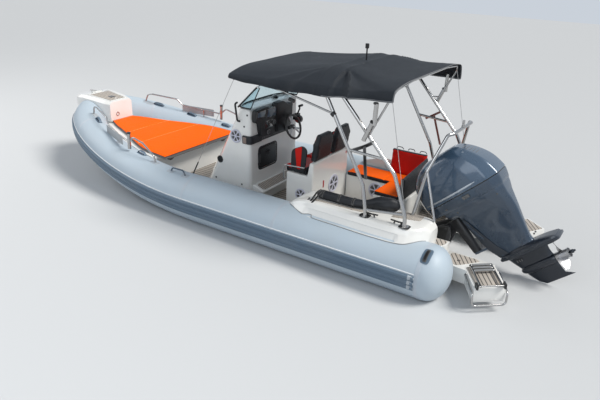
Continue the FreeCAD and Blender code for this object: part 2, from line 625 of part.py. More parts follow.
def arch_side():
    """Paths of the two leaning legs on the port side, each on to the middle of its hoop."""
    # distance from the fore foot, y from the foot, height
    fore = ((0, 0, COAMING_TOP_Z), (10, -5, 800), (75, -40, 1040), (610, -55, 1975), (665, -140, 2060),
            (720, -460, HOOP_Z), (720, -ARCH_FOOT_Y, HOOP_Z))
    aft = ((-475, 0, COAMING_TOP_Z), (-465, -5, 820), (-280, -65, 1230), (420, -55, 2000), (485, -140, 2062),
           (540, -460, HOOP_Z), (540, -ARCH_FOOT_Y, HOOP_Z))
    return [[(ARCH_X + x, ARCH_FOOT_Y + y, z) for x, y, z in path] for path in (fore, aft)]


def arch_legs(grow=0.0):
    """The four legs and two hoops as solids, to seat other tubes on."""
    legs = [tube(path, ARCH_TUBE_R + grow, ARCH_BEND_R) for path in arch_side()]
    return legs + [mirrored(leg) for leg in legs]


UNDER_COAMING_TOP = block(COAMING_AFT_X, -2000, 400, 1200, 500, COAMING_TOP_Z)


def make_arch():
    """Stainless arch: port half, starboard half and their crossbars."""
    fore, aft = arch_side()
    legs = [tube(fore, ARCH_TUBE_R, ARCH_BEND_R), tube(aft, ARCH_TUBE_R, ARCH_BEND_R)]
    y = ARCH_FOOT_Y
    bars = [rod((ARCH_X + 5, y - 2, 775), (ARCH_X - 458, y - 8, 835), CROSSBAR_R),
            rod((ARCH_X + 282, y - 45, 1403), (ARCH_X - 150, y - 62, 1375), CROSSBAR_R)]
    pads = [Part.makeCylinder(48, 8, Vector(ARCH_X + ahead, y, COAMING_TOP_Z)) for ahead in (0, -475)]
    half = fused(legs + bars + pads).cut(UNDER_COAMING_TOP)
    export(half, "arch_port")
    export(mirrored(half), "arch_starboard")


def canopy_bows(grow=0.0):
    """The front and rear tubes that hold the cloth out, each from leg to leg."""
    # port half of each path, from its foot on a leg to the centreline
    y = ARCH_FOOT_Y
    front = [(482, y - 42, 1765), (1170, y - 45, 1915), (1890, y - 50, 1995), (1910, y - 140, 2022), (1915, y - 500, 2054)]
    rear = [(55, y - 50, 1600), (-170, y - 50, 2050), (-190, y - 140, 2115), (-190, y - 500, 2146)]
    bows = []
    for half in (front, rear):
        port = [(ARCH_X + ahead, out, z) for ahead, out, z in half]
        path = port + [(x, -out, z) for x, out, z in port[::-1]]
        bows.append(tube(path, BOW_TUBE_R + grow, 60).cut(arch_legs(SEAT)))
    return [biggest(bow) for bow in bows]


def make_canopy():
    """Cloth canopy over the arch, with bows fore and aft that hold it out."""
    # distance from the arch's fore foot, hem height, edge height, edge half width less the foot's,
    # shoulder height, shoulder half width, crown height
    table = ((1930, 1965, 2040, -15, 2085, 600, 2092), (1360, 1950, 2060, -15, 2140, 580, 2150),
             (770, 1945, 2085, -25, 2198, 560, 2204), (490, 1960, 2090, -25, 2198, 560, 2204),
             (150, 1995, 2110, -15, 2172, 580, 2180), (-210, 2010, 2130, -15, 2165, 600, 2170))
    sections = []
    for ahead, hem, edge, spread, shoulder, narrow, crown in table:
        x, wide = ARCH_X + ahead, ARCH_FOOT_Y + spread
        half = [(wide + 15, hem), (wide, edge), (narrow, shoulder), (0, crown)]
        t = CANOPY_T
        under = [(wide + 15 - t, hem), (wide - t, edge - 3), (narrow, shoulder - t), (0, crown - t)]
        skin = half + [(-y, z) for y, z in half[-2::-1]]
        lining = under + [(-y, z) for y, z in under[-2::-1]]
        sections.append([(x, y, z) for y, z in skin + lining[::-1]])
    pole_hole = rod(LIGHT_FOOT, LIGHT_TOP, LIGHT_POLE_R + SEAT)
    export(loft(sections).cut(pole_hole), "canopy")
    clear = arch_legs(SEAT)
    front, rear = canopy_bows()
    export(front, "canopy_bow_front")
    export(rear, "canopy_bow_rear")
    y = ARCH_FOOT_Y
    stays = [rod((ARCH_X + 1870, y - 53, 1988), over_tube(2919, -169, 238), STAY_R),
             rod((ARCH_X - 175, y - 55, 2035), (ARCH_X - 480, y - 25, COAMING_TOP_Z + 25), STAY_R)]
    cleat = rod((ARCH_X - 480, y - 25, COAMING_TOP_Z), (ARCH_X - 480, y - 25, COAMING_TOP_Z + 30), 14)
    anchors = [fused([stay]) for stay in stays]
    anchors = [anchors[0].cut(front), fused([anchors[1].cut(rear), cleat]).cut(clear)]
    stays = [biggest(off_the_tubes(a, starboard=False)) for a in anchors]
    export(both_sides(Part.makeCompound(stays)), "canopy_stays")


def make_mast():
    """Low frame round the motor, for the tow line."""
    # distance from the arch's fore foot, y, height
    foot, y = COAMING_TOP_Z - 5, TUBE_HALF_SPACING
    half = [(ARCH_X + ahead, out, z) for ahead, out, z in
            ((-425, y - 366, foot), (-490, y - 481, 1210), (-600, 350, 1590), (-645, 280, MAST_TOP_Z),
             (-645, 0, MAST_TOP_Z))]
    main = tube(half + [(x, -out, z) for x, out, z in half[-2::-1]], 19, 60)
    brace = rod((ARCH_X - 680, y - 366, foot), (ARCH_X - 490, y - 481, 1208), 15)
    pin = rod(half[-1], (half[-1][0], 0, MAST_TOP_Z + 90), 13)
    collar = rod(half[-1], (half[-1][0], 0, MAST_TOP_Z + 28), 22)
    under = [UNDER_COAMING_TOP, mirrored(UNDER_COAMING_TOP)]
    export(fused([main, brace, mirrored(brace), collar, pin]).cut(under), "tow_mast")


def make_rod_holders():
    """Open tubes for fishing rods on the rails and the arch."""
    clear = arch_legs(SEAT) + canopy_bows(SEAT)
    holders = []
    for foot, top, carrier in ARCH_HOLDERS:
        lug = rod([(a + b) / 2 for a, b in zip(foot, top)], carrier, 9)
        body = fused([rod(foot, top, HOLDER_R), lug]).cut(rod(foot, top, HOLDER_BORE_R))
        holders.append(biggest(body.cut(clear)))
    export(both_sides(Part.makeCompound(holders)), "rod_holders")


def make_rails():
    """Bow rails on the tubes."""
    # distance aft of the bow, out and up from the tube's centre
    table = ((519, -61, 250), (569, -67, 392), (659, -84, 423), (1069, -75, 462), (1159, -55, 385), (1519, -11, 401),
             (1834, 15, 415), (1929, 23, 523), (2129, 3, 503), (2339, -6, 381), (2369, -8, 284))
    rail = tube([over_tube(*row) for row in table], 12.5, 60)
    post = rod(over_tube(1519, -11, 171), over_tube(1519, -11, 401), 9)
    (_, y, _), _, _ = tube_station(x=TUBE_BOW_X - BOW_HOLDER[0][0])
    holder = [(x, y + BOW_HOLDER_OUT, z) for x, _, z in [over_tube(a, 0, up) for a, up in BOW_HOLDER]]
    print("bow rod holder", holder)
    whole = fused([rail, post, rod(*holder, HOLDER_R)]).cut(rod(*holder, HOLDER_BORE_R))
    rail = biggest(off_the_tubes(whole, starboard=False))
    export(rail, "bow_rail_port")
    export(mirrored(rail), "bow_rail_starboard")
    # x, out and up from the tube's centre
    ends = ((500, 39, 290), (470, 44, 352), (260, 54, 369), (230, 54, 300))
    handle = tube([over_tube(TUBE_BOW_X - x, out, up) for x, out, up in ends], 10, 40)
    export(both_sides(biggest(off_the_tubes(handle, starboard=False))), "grab_handles")


def make_platforms():
    """Planked stern platforms, each on a box that runs back to the transom."""
    outline = list(PLATFORM_CORNERS)
    box = prism(outline, "z", PLATFORM_TOP_Z - PLATFORM_T, PLATFORM_TOP_Z)
    corner = [(HULL_TRANSOM_X, ARM_OUTER_Y), (COAMING_AFT_X - SEAT, ARM_OUTER_Y)]
    stern, inner_y = TUBE_STERN_X, PLATFORM_CORNERS[3][1]
    arm = prism([(HULL_TRANSOM_X, 420)] + corner + [(COAMING_AFT_X - SEAT, 730), (stern + 167, 730),
                 (stern - 93, inner_y + 310), (stern - 293, inner_y + 5), (stern - 93, inner_y - 30)],
                "z", PLATFORM_TOP_Z - PLATFORM_T, PLATFORM_TOP_Z)
    step = prism([(HULL_TRANSOM_X, 520)] + corner + [(COAMING_AFT_X - SEAT, 720), (stern + 287, 720),
                  (stern + 217, 640), (stern + 217, 520)], "z", PLATFORM_TOP_Z - 1, 440)
    platform = biggest(off_the_tubes(fused([box, arm, step]), starboard=False))
    export(platform, "platform_port")
    export(mirrored(platform), "platform_starboard")
    return platform


def along_platform(share_out, share_across, z):
    """A point over the platform: 0 to 1 from its inner to its outer edge, and across it."""
    inner_a, outer_a, outer_b, inner_b = [Vector(x, y, 0) for x, y in PLATFORM_CORNERS]
    near = inner_a + (outer_a - inner_a) * share_out
    far = inner_b + (outer_b - inner_b) * share_out
    point = near + (far - near) * share_across
    return (point.x, point.y, z)


def make_ladder(platform):
    """Boarding ladder folded on the port platform, its hinge brackets and a guard."""
    z = PLATFORM_TOP_Z + LADDER_LIFT
    rails = [rod(along_platform(LADDER_HINGE, across, z), along_platform(0.1, across, z), 11)
             for across in (0.16, 0.84)]
    steps = [rod(along_platform(share, 0.16, z), along_platform(share, 0.84, z), 13)
             for share in (0.12, 0.25, 0.38)]
    axle = rod(along_platform(LADDER_HINGE, 0.03, z), along_platform(LADDER_HINGE, 0.97, z), LADDER_AXLE_R)
    export(fused(rails + steps + [axle]), "boarding_ladder")
    bore = rod(along_platform(LADDER_HINGE, 0, z), along_platform(LADDER_HINGE, 1, z),
               LADDER_AXLE_R + SHAFT_CLEARANCE)
    brackets = []
    for near, far in ((0.03, 0.09), (0.91, 0.97)):
        foot = [along_platform(out, a, PLATFORM_TOP_Z) for out, a in
                ((0.93, near), (LADDER_HINGE + 0.04, near), (LADDER_HINGE + 0.04, far), (0.93, far))]
        top = [(x, y, z + 18) for x, y, _ in foot]
        brackets.append(loft([foot, top]).cut(bore))
    export(Part.makeCompound(brackets), "ladder_brackets")
    low = PLATFORM_TOP_Z - PLATFORM_T - 20
    guard = tube([along_platform(0.3, 0, PLATFORM_TOP_Z - 20), along_platform(0.3, -0.06, PLATFORM_TOP_Z - 20),
                  along_platform(1.04, -0.06, PLATFORM_TOP_Z - 60),
                  along_platform(1.08, -0.04, low), along_platform(1.08, 1.04, low),
                  along_platform(1.04, 1.06, PLATFORM_TOP_Z - 60), along_platform(0.3, 1.06, PLATFORM_TOP_Z - 20),
                  along_platform(0.3, 1, PLATFORM_TOP_Z - 20)], 11, 45)
    export(biggest(guard.cut(platform)), "ladder_guard")


def upright(x, z, y=0.0):
    """A point of the upright motor, from the tilt pivot: x forward and z up."""
    return (PIVOT_X + x, y, PIVOT_Z + z)


def tilted(shape):
    """The upright motor's shape, leant to its tilt at rest."""
    turned = shape.copy()
    turned.rotate(vec(upright(0, 0)), Vector(0, 1, 0), TILT_DEG)
    return turned


def motor_slab(outline, half_width):
    """A side outline of the motor, pushed out to both sides."""
    return prism([(PIVOT_X + x, PIVOT_Z + z) for x, z in outline], "y", -half_width, half_width)


# Share of the length from the fore end, and share of the half width
COWL_OUTLINE = ((0, 0.46), (0.07, 0.8), (0.22, 1), (0.72, 1), (0.91, 0.85), (1, 0.5))


def cowl_ring(height, half_width, aft, fore, wall=0.0):
    """A level section of the cowl or the casing."""
    w, length = half_width - wall, fore - aft - 2 * wall
    port = [upright(fore - wall - share * length, height, wide * w) for share, wide in COWL_OUTLINE]
    return port + [(x, -y, z) for x, y, z in port[::-1]]


def make_motor():
    """Outboard motor: clamp and swivel brackets, cowl, engine, casing, gearcase and propeller."""
    # height, half width, aft end, fore end
    cowl_table = ((170, 250, -900, 60), (300, COWL_HALF_W, -925, 90), (480, COWL_HALF_W, -880, 85),
                  (640, 250, -780, 30), (740, 200, -690, -110), (795, 120, -600, -240))
    cowl = loft([cowl_ring(*row) for row in cowl_table])
    lining = ((160,) + cowl_table[0][1:],) + cowl_table[1:4] + ((722, 200, -690, -110), (768, 120, -600, -240))
    inner = loft([cowl_ring(*row, COWL_WALL) for row in lining])
    export(tilted(cowl.cut(inner)), "motor_cowl")
    head = block(PIVOT_X - 720, PIVOT_X - 60, -170, 170, PIVOT_Z + PAN_TOP, PIVOT_Z + 600)
    export(tilted(head), "motor_powerhead")
    # height, half width, aft end, fore end
    casing_table = ((PAN_TOP, 245, -895, -60), (85, 205, -880, -90), (50, 180, -872, -192), (-150, 95, -850, -200),
                    (-430, 80, -820, -235), (-PLATE_DOWN + 40, 75, -800, -330))
    casing = loft([cowl_ring(*row) for row in casing_table])
    kingpin = Part.makeCylinder(KINGPIN_R, 530, vec(upright(-STEER_BACK, SWIVEL_LOW - 30)))
    arms = [motor_slab([(-STEER_BACK + 34, low), (-back, low), (-back, low + 24), (-STEER_BACK + 34, low + 24)], 34)
            for low, back in ((SWIVEL_LOW - 26, 250), (SWIVEL_HIGH + 2, 220))]
    export(tilted(fused([casing, kingpin] + arms)), "motor_casing")
    plate = loft([[upright(-330, z, 60), upright(-480, z, 120), upright(-1000, z, 135), upright(-1090, z, 40),
                   upright(-1090, z, -40), upright(-1000, z, -135), upright(-480, z, -120), upright(-330, z, -60)]
                  for z in (-PLATE_DOWN, -PLATE_DOWN + 39.4)])
    blade = lambda z, fore, aft, w: [upright(fore, z, 0.0), upright(fore - 0.25 * (fore - aft), z, w),
                                     upright(aft, z, 4), upright(aft, z, -4),
                                     upright(fore - 0.25 * (fore - aft), z, -w)]
    strut = loft([blade(-PLATE_DOWN + 1, -400, -900, 42), blade(-SHAFT_DOWN + 40, -440, -890, 36)])
    skeg = loft([blade(-SHAFT_DOWN + 60, -450, -892, 24), blade(-SHAFT_DOWN - 60, -490, -885, 14),
                 blade(-SHAFT_DOWN - PROP_R - 10, -590, -895, 8), blade(-SKEG_DOWN, -640, -985, 6)])
    torpedo = Part.makeCylinder(56, 360, vec(upright(-535, -SHAFT_DOWN)), Vector(-1, 0, 0))
    nose = Part.makeCone(56, 16, 120, vec(upright(-535, -SHAFT_DOWN)), Vector(1, 0, 0))
    shaft = Part.makeCylinder(PROP_SHAFT_R, 290, vec(upright(-890, -SHAFT_DOWN)), Vector(-1, 0, 0))
    export(tilted(fused([plate, strut, skeg, torpedo, nose, shaft])), "motor_gearcase")
    hub = Part.makeCone(54, 46, 150, vec(upright(-901, -SHAFT_DOWN)), Vector(-1, 0, 0))
    bore = Part.makeCylinder(PROP_SHAFT_R + SHAFT_CLEARANCE, 400, vec(upright(-850, -SHAFT_DOWN)), Vector(-1, 0, 0))
    blades = []
    for index in range(3):
        root = [upright(-925, -SHAFT_DOWN + 40, -38), upright(-932, -SHAFT_DOWN + 40, -34),
                upright(-1020, -SHAFT_DOWN + 40, 38), upright(-1013, -SHAFT_DOWN + 40, 34)]
        middle = [upright(-915, -SHAFT_DOWN + 120, -78), upright(-921, -SHAFT_DOWN + 120, -76),
                  upright(-1025, -SHAFT_DOWN + 120, 70), upright(-1019, -SHAFT_DOWN + 120, 66)]
        tip = [upright(-945, -SHAFT_DOWN + PROP_R - 4, -30), upright(-948, -SHAFT_DOWN + PROP_R - 4, -28),
               upright(-1002, -SHAFT_DOWN + PROP_R - 4, 26), upright(-999, -SHAFT_DOWN + PROP_R - 4, 24)]
        wing = loft([root, middle, tip])
        wing.rotate(vec(upright(-950, -SHAFT_DOWN)), Vector(1, 0, 0), 120 * index)
        blades.append(wing)
    export(tilted(fused([hub] + blades).cut(bore)), "propeller")
    yoke = motor_slab([(36, -20), (20, 36), (-40, SWIVEL_HIGH), (-STEER_BACK, SWIVEL_HIGH),
                       (-STEER_BACK, SWIVEL_LOW), (-95, SWIVEL_LOW), (-70, -120), (-10, -36)], 46)
    steer_tube = Part.makeCylinder(48, SWIVEL_HIGH - SWIVEL_LOW, vec(upright(-STEER_BACK, SWIVEL_LOW)))
    steer_bore = Part.makeCylinder(KINGPIN_R + SHAFT_CLEARANCE, 700, vec(upright(-STEER_BACK, SWIVEL_LOW - 100)))
    pivot_tube = rod(upright(0, 0, -72), upright(0, 0, 72), 36)
    pin_bore = rod(upright(0, 0, -90), upright(0, 0, 90), PIVOT_PIN_R + SHAFT_CLEARANCE)
    export(tilted(fused([yoke, steer_tube, pivot_tube]).cut([pin_bore, steer_bore])), "motor_swivel")
    cheek = prism([(PIVOT_X - 40, PIVOT_Z + 40), (PIVOT_X + 40, PIVOT_Z + 40), (HULL_TRANSOM_X + TRANSOM_T + 30, 330),
                   (HULL_TRANSOM_X + TRANSOM_T + 30, 200), (HULL_TRANSOM_X + TRANSOM_T, 200),
                   (HULL_TRANSOM_X + TRANSOM_T, TRANSOM_TOP_Z), (HULL_TRANSOM_X, TRANSOM_TOP_Z),
                   (HULL_TRANSOM_X, -60), (HULL_TRANSOM_X - 60, -60), (PIVOT_X - 60, PIVOT_Z - 100)], "y", 80, 130)
    pin = rod((PIVOT_X, -140, PIVOT_Z), (PIVOT_X, 140, PIVOT_Z), PIVOT_PIN_R)
    export(fused([cheek, mirrored(cheek), pin]), "motor_clamp")


def make_speakers():
    """Round speakers on the console, the seat box and the bench."""
    # centre on the face, way out, radius
    table = (((-210, CONSOLE_HALF_W, 1090), (0, 1, 0), 82), ((-1200, POST_HALF_W, 460), (0, 1, 0), 82),
             ((POST_AFT_X, -80, 500), (-1, 0, 0), 92), (((BENCH_AFT_X + BENCH_FRONT_X) / 2 + 60, BENCH_INNER_Y, 400), (0, 1, 0), 88),
             ((-210, -CONSOLE_HALF_W, 1090), (0, -1, 0), 82))
    discs = [Part.makeCylinder(radius, SPEAKER_T, vec(centre), vec(way)) for centre, way, radius in table]
    export(Part.makeCompound(discs), "speakers")


def make_small_parts(hull):
    """Bow eye, navigation light and cleats."""
    low, high = [Vector(row[0], 0, row[1]) for row in HULL_TABLE[-2:]]
    along = (high - low).normalize()
    out = Vector(along.z, 0, -along.x)
    foot = low + along * 100
    eye = foot + out * (EYE_R + 16)
    corners = [foot - along * 60 - out * 20, foot + along * 60 - out * 20, eye + along * 34, eye - along * 34]
    plate = prism([(c.x, c.z) for c in corners], "y", -EYE_T / 2, EYE_T / 2)
    rounding = rod(eye - Vector(0, EYE_T / 2, 0), eye + Vector(0, EYE_T / 2, 0), EYE_R + 13)
    hole = rod(eye - Vector(0, 50, 0), eye + Vector(0, 50, 0), EYE_R)
    print("bow eye", eye, "length", EYE_T)
    export(biggest(fused([plate, rounding]).cut(hole).cut(hull)), "bow_eye")
    beam = rod((LIGHT_X + 80, 0, HOOP_Z - 4), (LIGHT_X - 80, 0, HOOP_Z - 4), 14).cut(arch_legs(SEAT))
    light = fused([biggest(beam), rod(LIGHT_FOOT, LIGHT_TOP, LIGHT_POLE_R),
                   rod(LIGHT_TOP, (LIGHT_TOP[0], LIGHT_TOP[1], LIGHT_TOP[2] + 55), 21)])
    export(light, "mast_light")


make_tubes()
make_strakes()
hull_solid = make_hull()
make_sole()
make_transom()
foredeck_solid = make_foredeck(hull_solid)
make_bow_step(foredeck_solid)
make_console()
make_helm()
make_leaning_post()
make_bench()
make_coamings()
make_arch()
make_canopy()
make_mast()
make_rod_holders()
make_rails()
platform_solid = make_platforms()
make_ladder(platform_solid)
make_motor()
make_speakers()
make_small_parts(hull_solid)
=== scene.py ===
"""Looks of a rigid inflatable boat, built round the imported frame.

Metres throughout. +X points to the bow, +Y to port and +Z up; the floor is the waterline.
Each sub-assembly is a class with its sizes as fields, and main() builds them in order.
"""
from __future__ import annotations

import json
import logging
import math
from dataclasses import dataclass, field
from enum import Enum
from typing import Callable, Sequence

import bmesh
import bpy
from bmesh.types import BMesh
from bpy.types import Material, Node, NodeSocket, NodeTree, Object
from mathutils import Matrix, Vector, noise

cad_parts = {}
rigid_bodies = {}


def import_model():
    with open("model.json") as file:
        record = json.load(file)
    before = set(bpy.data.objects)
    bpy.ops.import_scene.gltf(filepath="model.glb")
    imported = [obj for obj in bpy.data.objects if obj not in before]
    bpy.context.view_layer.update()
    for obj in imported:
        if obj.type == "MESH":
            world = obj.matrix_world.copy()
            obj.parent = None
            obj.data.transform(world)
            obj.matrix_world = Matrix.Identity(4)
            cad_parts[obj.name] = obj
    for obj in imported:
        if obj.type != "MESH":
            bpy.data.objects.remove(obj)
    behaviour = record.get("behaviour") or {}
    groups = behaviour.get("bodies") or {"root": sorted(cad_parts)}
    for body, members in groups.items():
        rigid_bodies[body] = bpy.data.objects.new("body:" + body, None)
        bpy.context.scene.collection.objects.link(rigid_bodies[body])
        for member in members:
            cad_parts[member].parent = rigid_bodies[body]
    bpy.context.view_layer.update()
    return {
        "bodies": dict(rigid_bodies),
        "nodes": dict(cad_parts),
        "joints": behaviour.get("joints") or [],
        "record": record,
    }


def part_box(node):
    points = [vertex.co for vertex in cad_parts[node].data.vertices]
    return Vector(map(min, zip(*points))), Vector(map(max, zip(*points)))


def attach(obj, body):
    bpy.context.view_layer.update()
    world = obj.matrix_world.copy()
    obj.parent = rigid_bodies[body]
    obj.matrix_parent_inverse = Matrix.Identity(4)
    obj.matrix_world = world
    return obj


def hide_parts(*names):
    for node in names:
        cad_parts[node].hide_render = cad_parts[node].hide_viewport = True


LOG = logging.getLogger("boat")
Rgb = tuple[float, float, float]
Point = Sequence[float]
Ring = list[Vector]
Outline = Sequence[tuple[float, float]]
Place = tuple[Vector, Vector, float]
CLOTH_FRAMES = 14
FINE_ENOUGH = 20000


class Side(Enum):
    """Which side of the boat a piece lies on; the value multiplies y."""

    PORT = 1
    STARBOARD = -1


class Body(str, Enum):
    """The frame's bodies that pieces ride on."""

    BOAT = "boat"
    TILT = "tilt"
    OUTBOARD = "outboard"
    SCREW = "screw"
    WHEEL = "wheel"
    HATCH = "hatch"
    LID = "lid"
    LADDER = "ladder"


# Shader groups


class Nodes:
    """Short ways to add and join the nodes of one tree."""

    def __init__(self, tree: NodeTree) -> None:
        """Starts from an empty tree."""
        self.tree = tree
        tree.nodes.clear()

    def add(self, kind: str, **inputs: object) -> Node:
        """Adds a node.

        Args:
            kind: Blender's name of the node's type.
            inputs: values or output sockets by socket name, with _ for a space; attributes start with at_.

        Returns:
            The new node.
        """
        node = self.tree.nodes.new(kind)
        for name, value in inputs.items():
            if name.startswith("at_"):
                setattr(node, name[3:], value)
        for name, value in inputs.items():
            if name.startswith("at_"):
                continue
            socket = node.inputs[int(name[1:])] if name[1:].isdigit() else node.inputs[name.replace("_", " ")]
            if isinstance(value, NodeSocket):
                self.tree.links.new(value, socket)
            else:
                socket.default_value = value
        return node

    def math(self, operation: str, a: object, b: object = 0.0, clamp: bool = False) -> NodeSocket:
        """The result of a Math node on two values or sockets."""
        node = self.add("ShaderNodeMath", at_operation=operation, at_use_clamp=clamp, i0=a, i1=b)
        return node.outputs[0]

    def mix(self, share: object, a: object, b: object) -> NodeSocket:
        """A colour between a and b."""
        node = self.tree.nodes.new("ShaderNodeMix")
        node.data_type = "RGBA"
        for index, value in ((0, share), (6, a), (7, b)):
            if isinstance(value, NodeSocket):
                self.tree.links.new(value, node.inputs[index])
            elif index:
                node.inputs[index].default_value = (*value[:3], 1.0)
            else:
                node.inputs[index].default_value = value
        return node.outputs[2]

    def ramp(self, value: NodeSocket, low: float, high: float) -> NodeSocket:
        """0 at low to 1 at high, smooth between."""
        node = self.add("ShaderNodeMapRange", at_interpolation_type="SMOOTHSTEP", Value=value)
        node.inputs["From Min"].default_value = low
        node.inputs["From Max"].default_value = high
        return node.outputs[0]


def shader_group(name: str, inputs: Sequence[tuple[str, str, object]], outputs: Sequence[tuple[str, str]],
                 fill: Callable[[Nodes, dict[str, NodeSocket]], dict[str, NodeSocket]],
                 ) -> NodeTree:
    """Builds a shader node group once.

    Args:
        name: the group's name.
        inputs: name, socket type and default of each input.
        outputs: name and socket type of each output.
        fill: adds the inner nodes; takes the tree and the inputs, and returns the outputs.

    Returns:
        The group, the same one on a second call.
    """
    if name in bpy.data.node_groups:
        return bpy.data.node_groups[name]
    group = bpy.data.node_groups.new(name, "ShaderNodeTree")
    for title, kind, default in inputs:
        socket = group.interface.new_socket(title, in_out="INPUT", socket_type=kind)
        socket.default_value = default
    for title, kind in outputs:
        group.interface.new_socket(title, in_out="OUTPUT", socket_type=kind)
    nodes = Nodes(group)
    start = nodes.add("NodeGroupInput")
    end = nodes.add("NodeGroupOutput")
    made = fill(nodes, {title: start.outputs[title] for title, _, _ in inputs})
    for title, socket in made.items():
        group.links.new(socket, end.inputs[title])
    return group


def weathering() -> NodeTree:
    """Group that soils a colour: faint tone changes, runs down the sides, and lighter worn edges."""

    def fill(n: Nodes, given: dict[str, NodeSocket]) -> dict[str, NodeSocket]:
        """Adds the group's nodes."""
        where = n.add("ShaderNodeTexCoord").outputs["Object"]
        tone = n.add("ShaderNodeTexNoise", Vector=where, Scale=given["Scale"], Detail=5.0, Roughness=0.6)
        stretched = n.add("ShaderNodeMapping", Vector=where, Scale=(1.0, 1.0, 0.14))
        runs = n.add("ShaderNodeTexNoise", Vector=stretched.outputs[0], Scale=26.0, Detail=4.0, Roughness=0.7)
        run_mask = n.math("MULTIPLY", n.ramp(runs.outputs["Fac"], 0.52, 0.78), given["Dirt"])
        patches = n.ramp(tone.outputs["Fac"], 0.42, 0.72)
        patch_mask = n.math("MULTIPLY", patches, given["Dirt"])
        mask = n.math("MAXIMUM", run_mask, patch_mask, clamp=True)
        edge = n.add("ShaderNodeNewGeometry").outputs["Pointiness"]
        worn = n.math("MULTIPLY", n.ramp(edge, 0.51, 0.60), given["Wear"], clamp=True)
        soiled = n.mix(mask, given["Color"], given["Dirt Color"])
        colour = n.mix(worn, soiled, given["Worn Color"])
        rough = n.math("ADD", given["Roughness"], n.math("MULTIPLY", mask, 0.25), clamp=True)
        return {"Color": colour, "Roughness": rough, "Mask": mask}

    return shader_group(
        "Weathering",
        (("Color", "NodeSocketColor", (0.8, 0.8, 0.8, 1)),
         ("Dirt Color", "NodeSocketColor", (0.3, 0.27, 0.22, 1)),
         ("Worn Color", "NodeSocketColor", (0.9, 0.9, 0.9, 1)), ("Dirt", "NodeSocketFloat", 0.2),
         ("Wear", "NodeSocketFloat", 0.2), ("Scale", "NodeSocketFloat", 3.0),
         ("Roughness", "NodeSocketFloat", 0.4)),
        (("Color", "NodeSocketColor"), ("Roughness", "NodeSocketFloat"), ("Mask", "NodeSocketFloat")), fill)


def fine_relief() -> NodeTree:
    """Group that gives the height of grain, weave, grit or brushing at a scale."""

    def fill(n: Nodes, given: dict[str, NodeSocket]) -> dict[str, NodeSocket]:
        """Adds the group's nodes."""
        where = n.add("ShaderNodeTexCoord").outputs["Object"]
        grain = n.add("ShaderNodeTexVoronoi", Vector=where, Scale=given["Scale"])
        soft = n.add("ShaderNodeTexNoise", Vector=where, Scale=n.math("MULTIPLY", given["Scale"], 0.12),
                     Detail=3.0)
        height = n.math("ADD", n.math("MULTIPLY", grain.outputs["Distance"], given["Grain"]),
                        n.math("MULTIPLY", soft.outputs["Fac"], given["Creases"]))
        return {"Height": height}

    return shader_group(
        "Fine relief",
        (("Scale", "NodeSocketFloat", 300.0), ("Grain", "NodeSocketFloat", 1.0),
         ("Creases", "NodeSocketFloat", 0.0)), (("Height", "NodeSocketFloat"),), fill)


def planking() -> NodeTree:
    """Group that gives caulk lines between boards, and the wood's streaks along them."""

    def fill(n: Nodes, given: dict[str, NodeSocket]) -> dict[str, NodeSocket]:
        """Adds the group's nodes."""
        where = n.add("ShaderNodeTexCoord").outputs["Object"]
        across = n.add("ShaderNodeVectorMath", at_operation="DOT_PRODUCT", i0=where, i1=given["Across"])
        step = n.math("DIVIDE", across.outputs["Value"], given["Board"])
        part = n.math("FRACT", n.math("ADD", step, 100.0))
        from_edge = n.math("MINIMUM", part, n.math("SUBTRACT", 1.0, part))
        line = n.math("SUBTRACT", 1.0, n.ramp(from_edge, 0.085, 0.125))
        board = n.math("FLOOR", n.math("ADD", step, 100.0))
        tone = n.add("ShaderNodeTexWhiteNoise", at_noise_dimensions="1D", W=board)
        grain = n.add("ShaderNodeTexNoise", Vector=where, Scale=38.0, Detail=6.0, Roughness=0.65)
        wood = n.math("ADD", n.math("MULTIPLY", tone.outputs["Value"], 0.35),
                      n.math("MULTIPLY", grain.outputs["Fac"], 0.65))
        return {"Line": line, "Tone": wood}

    return shader_group(
        "Planking",
        (("Across", "NodeSocketVector", (0, 1, 0)), ("Board", "NodeSocketFloat", 0.045)),
        (("Line", "NodeSocketFloat"), ("Tone", "NodeSocketFloat")), fill)


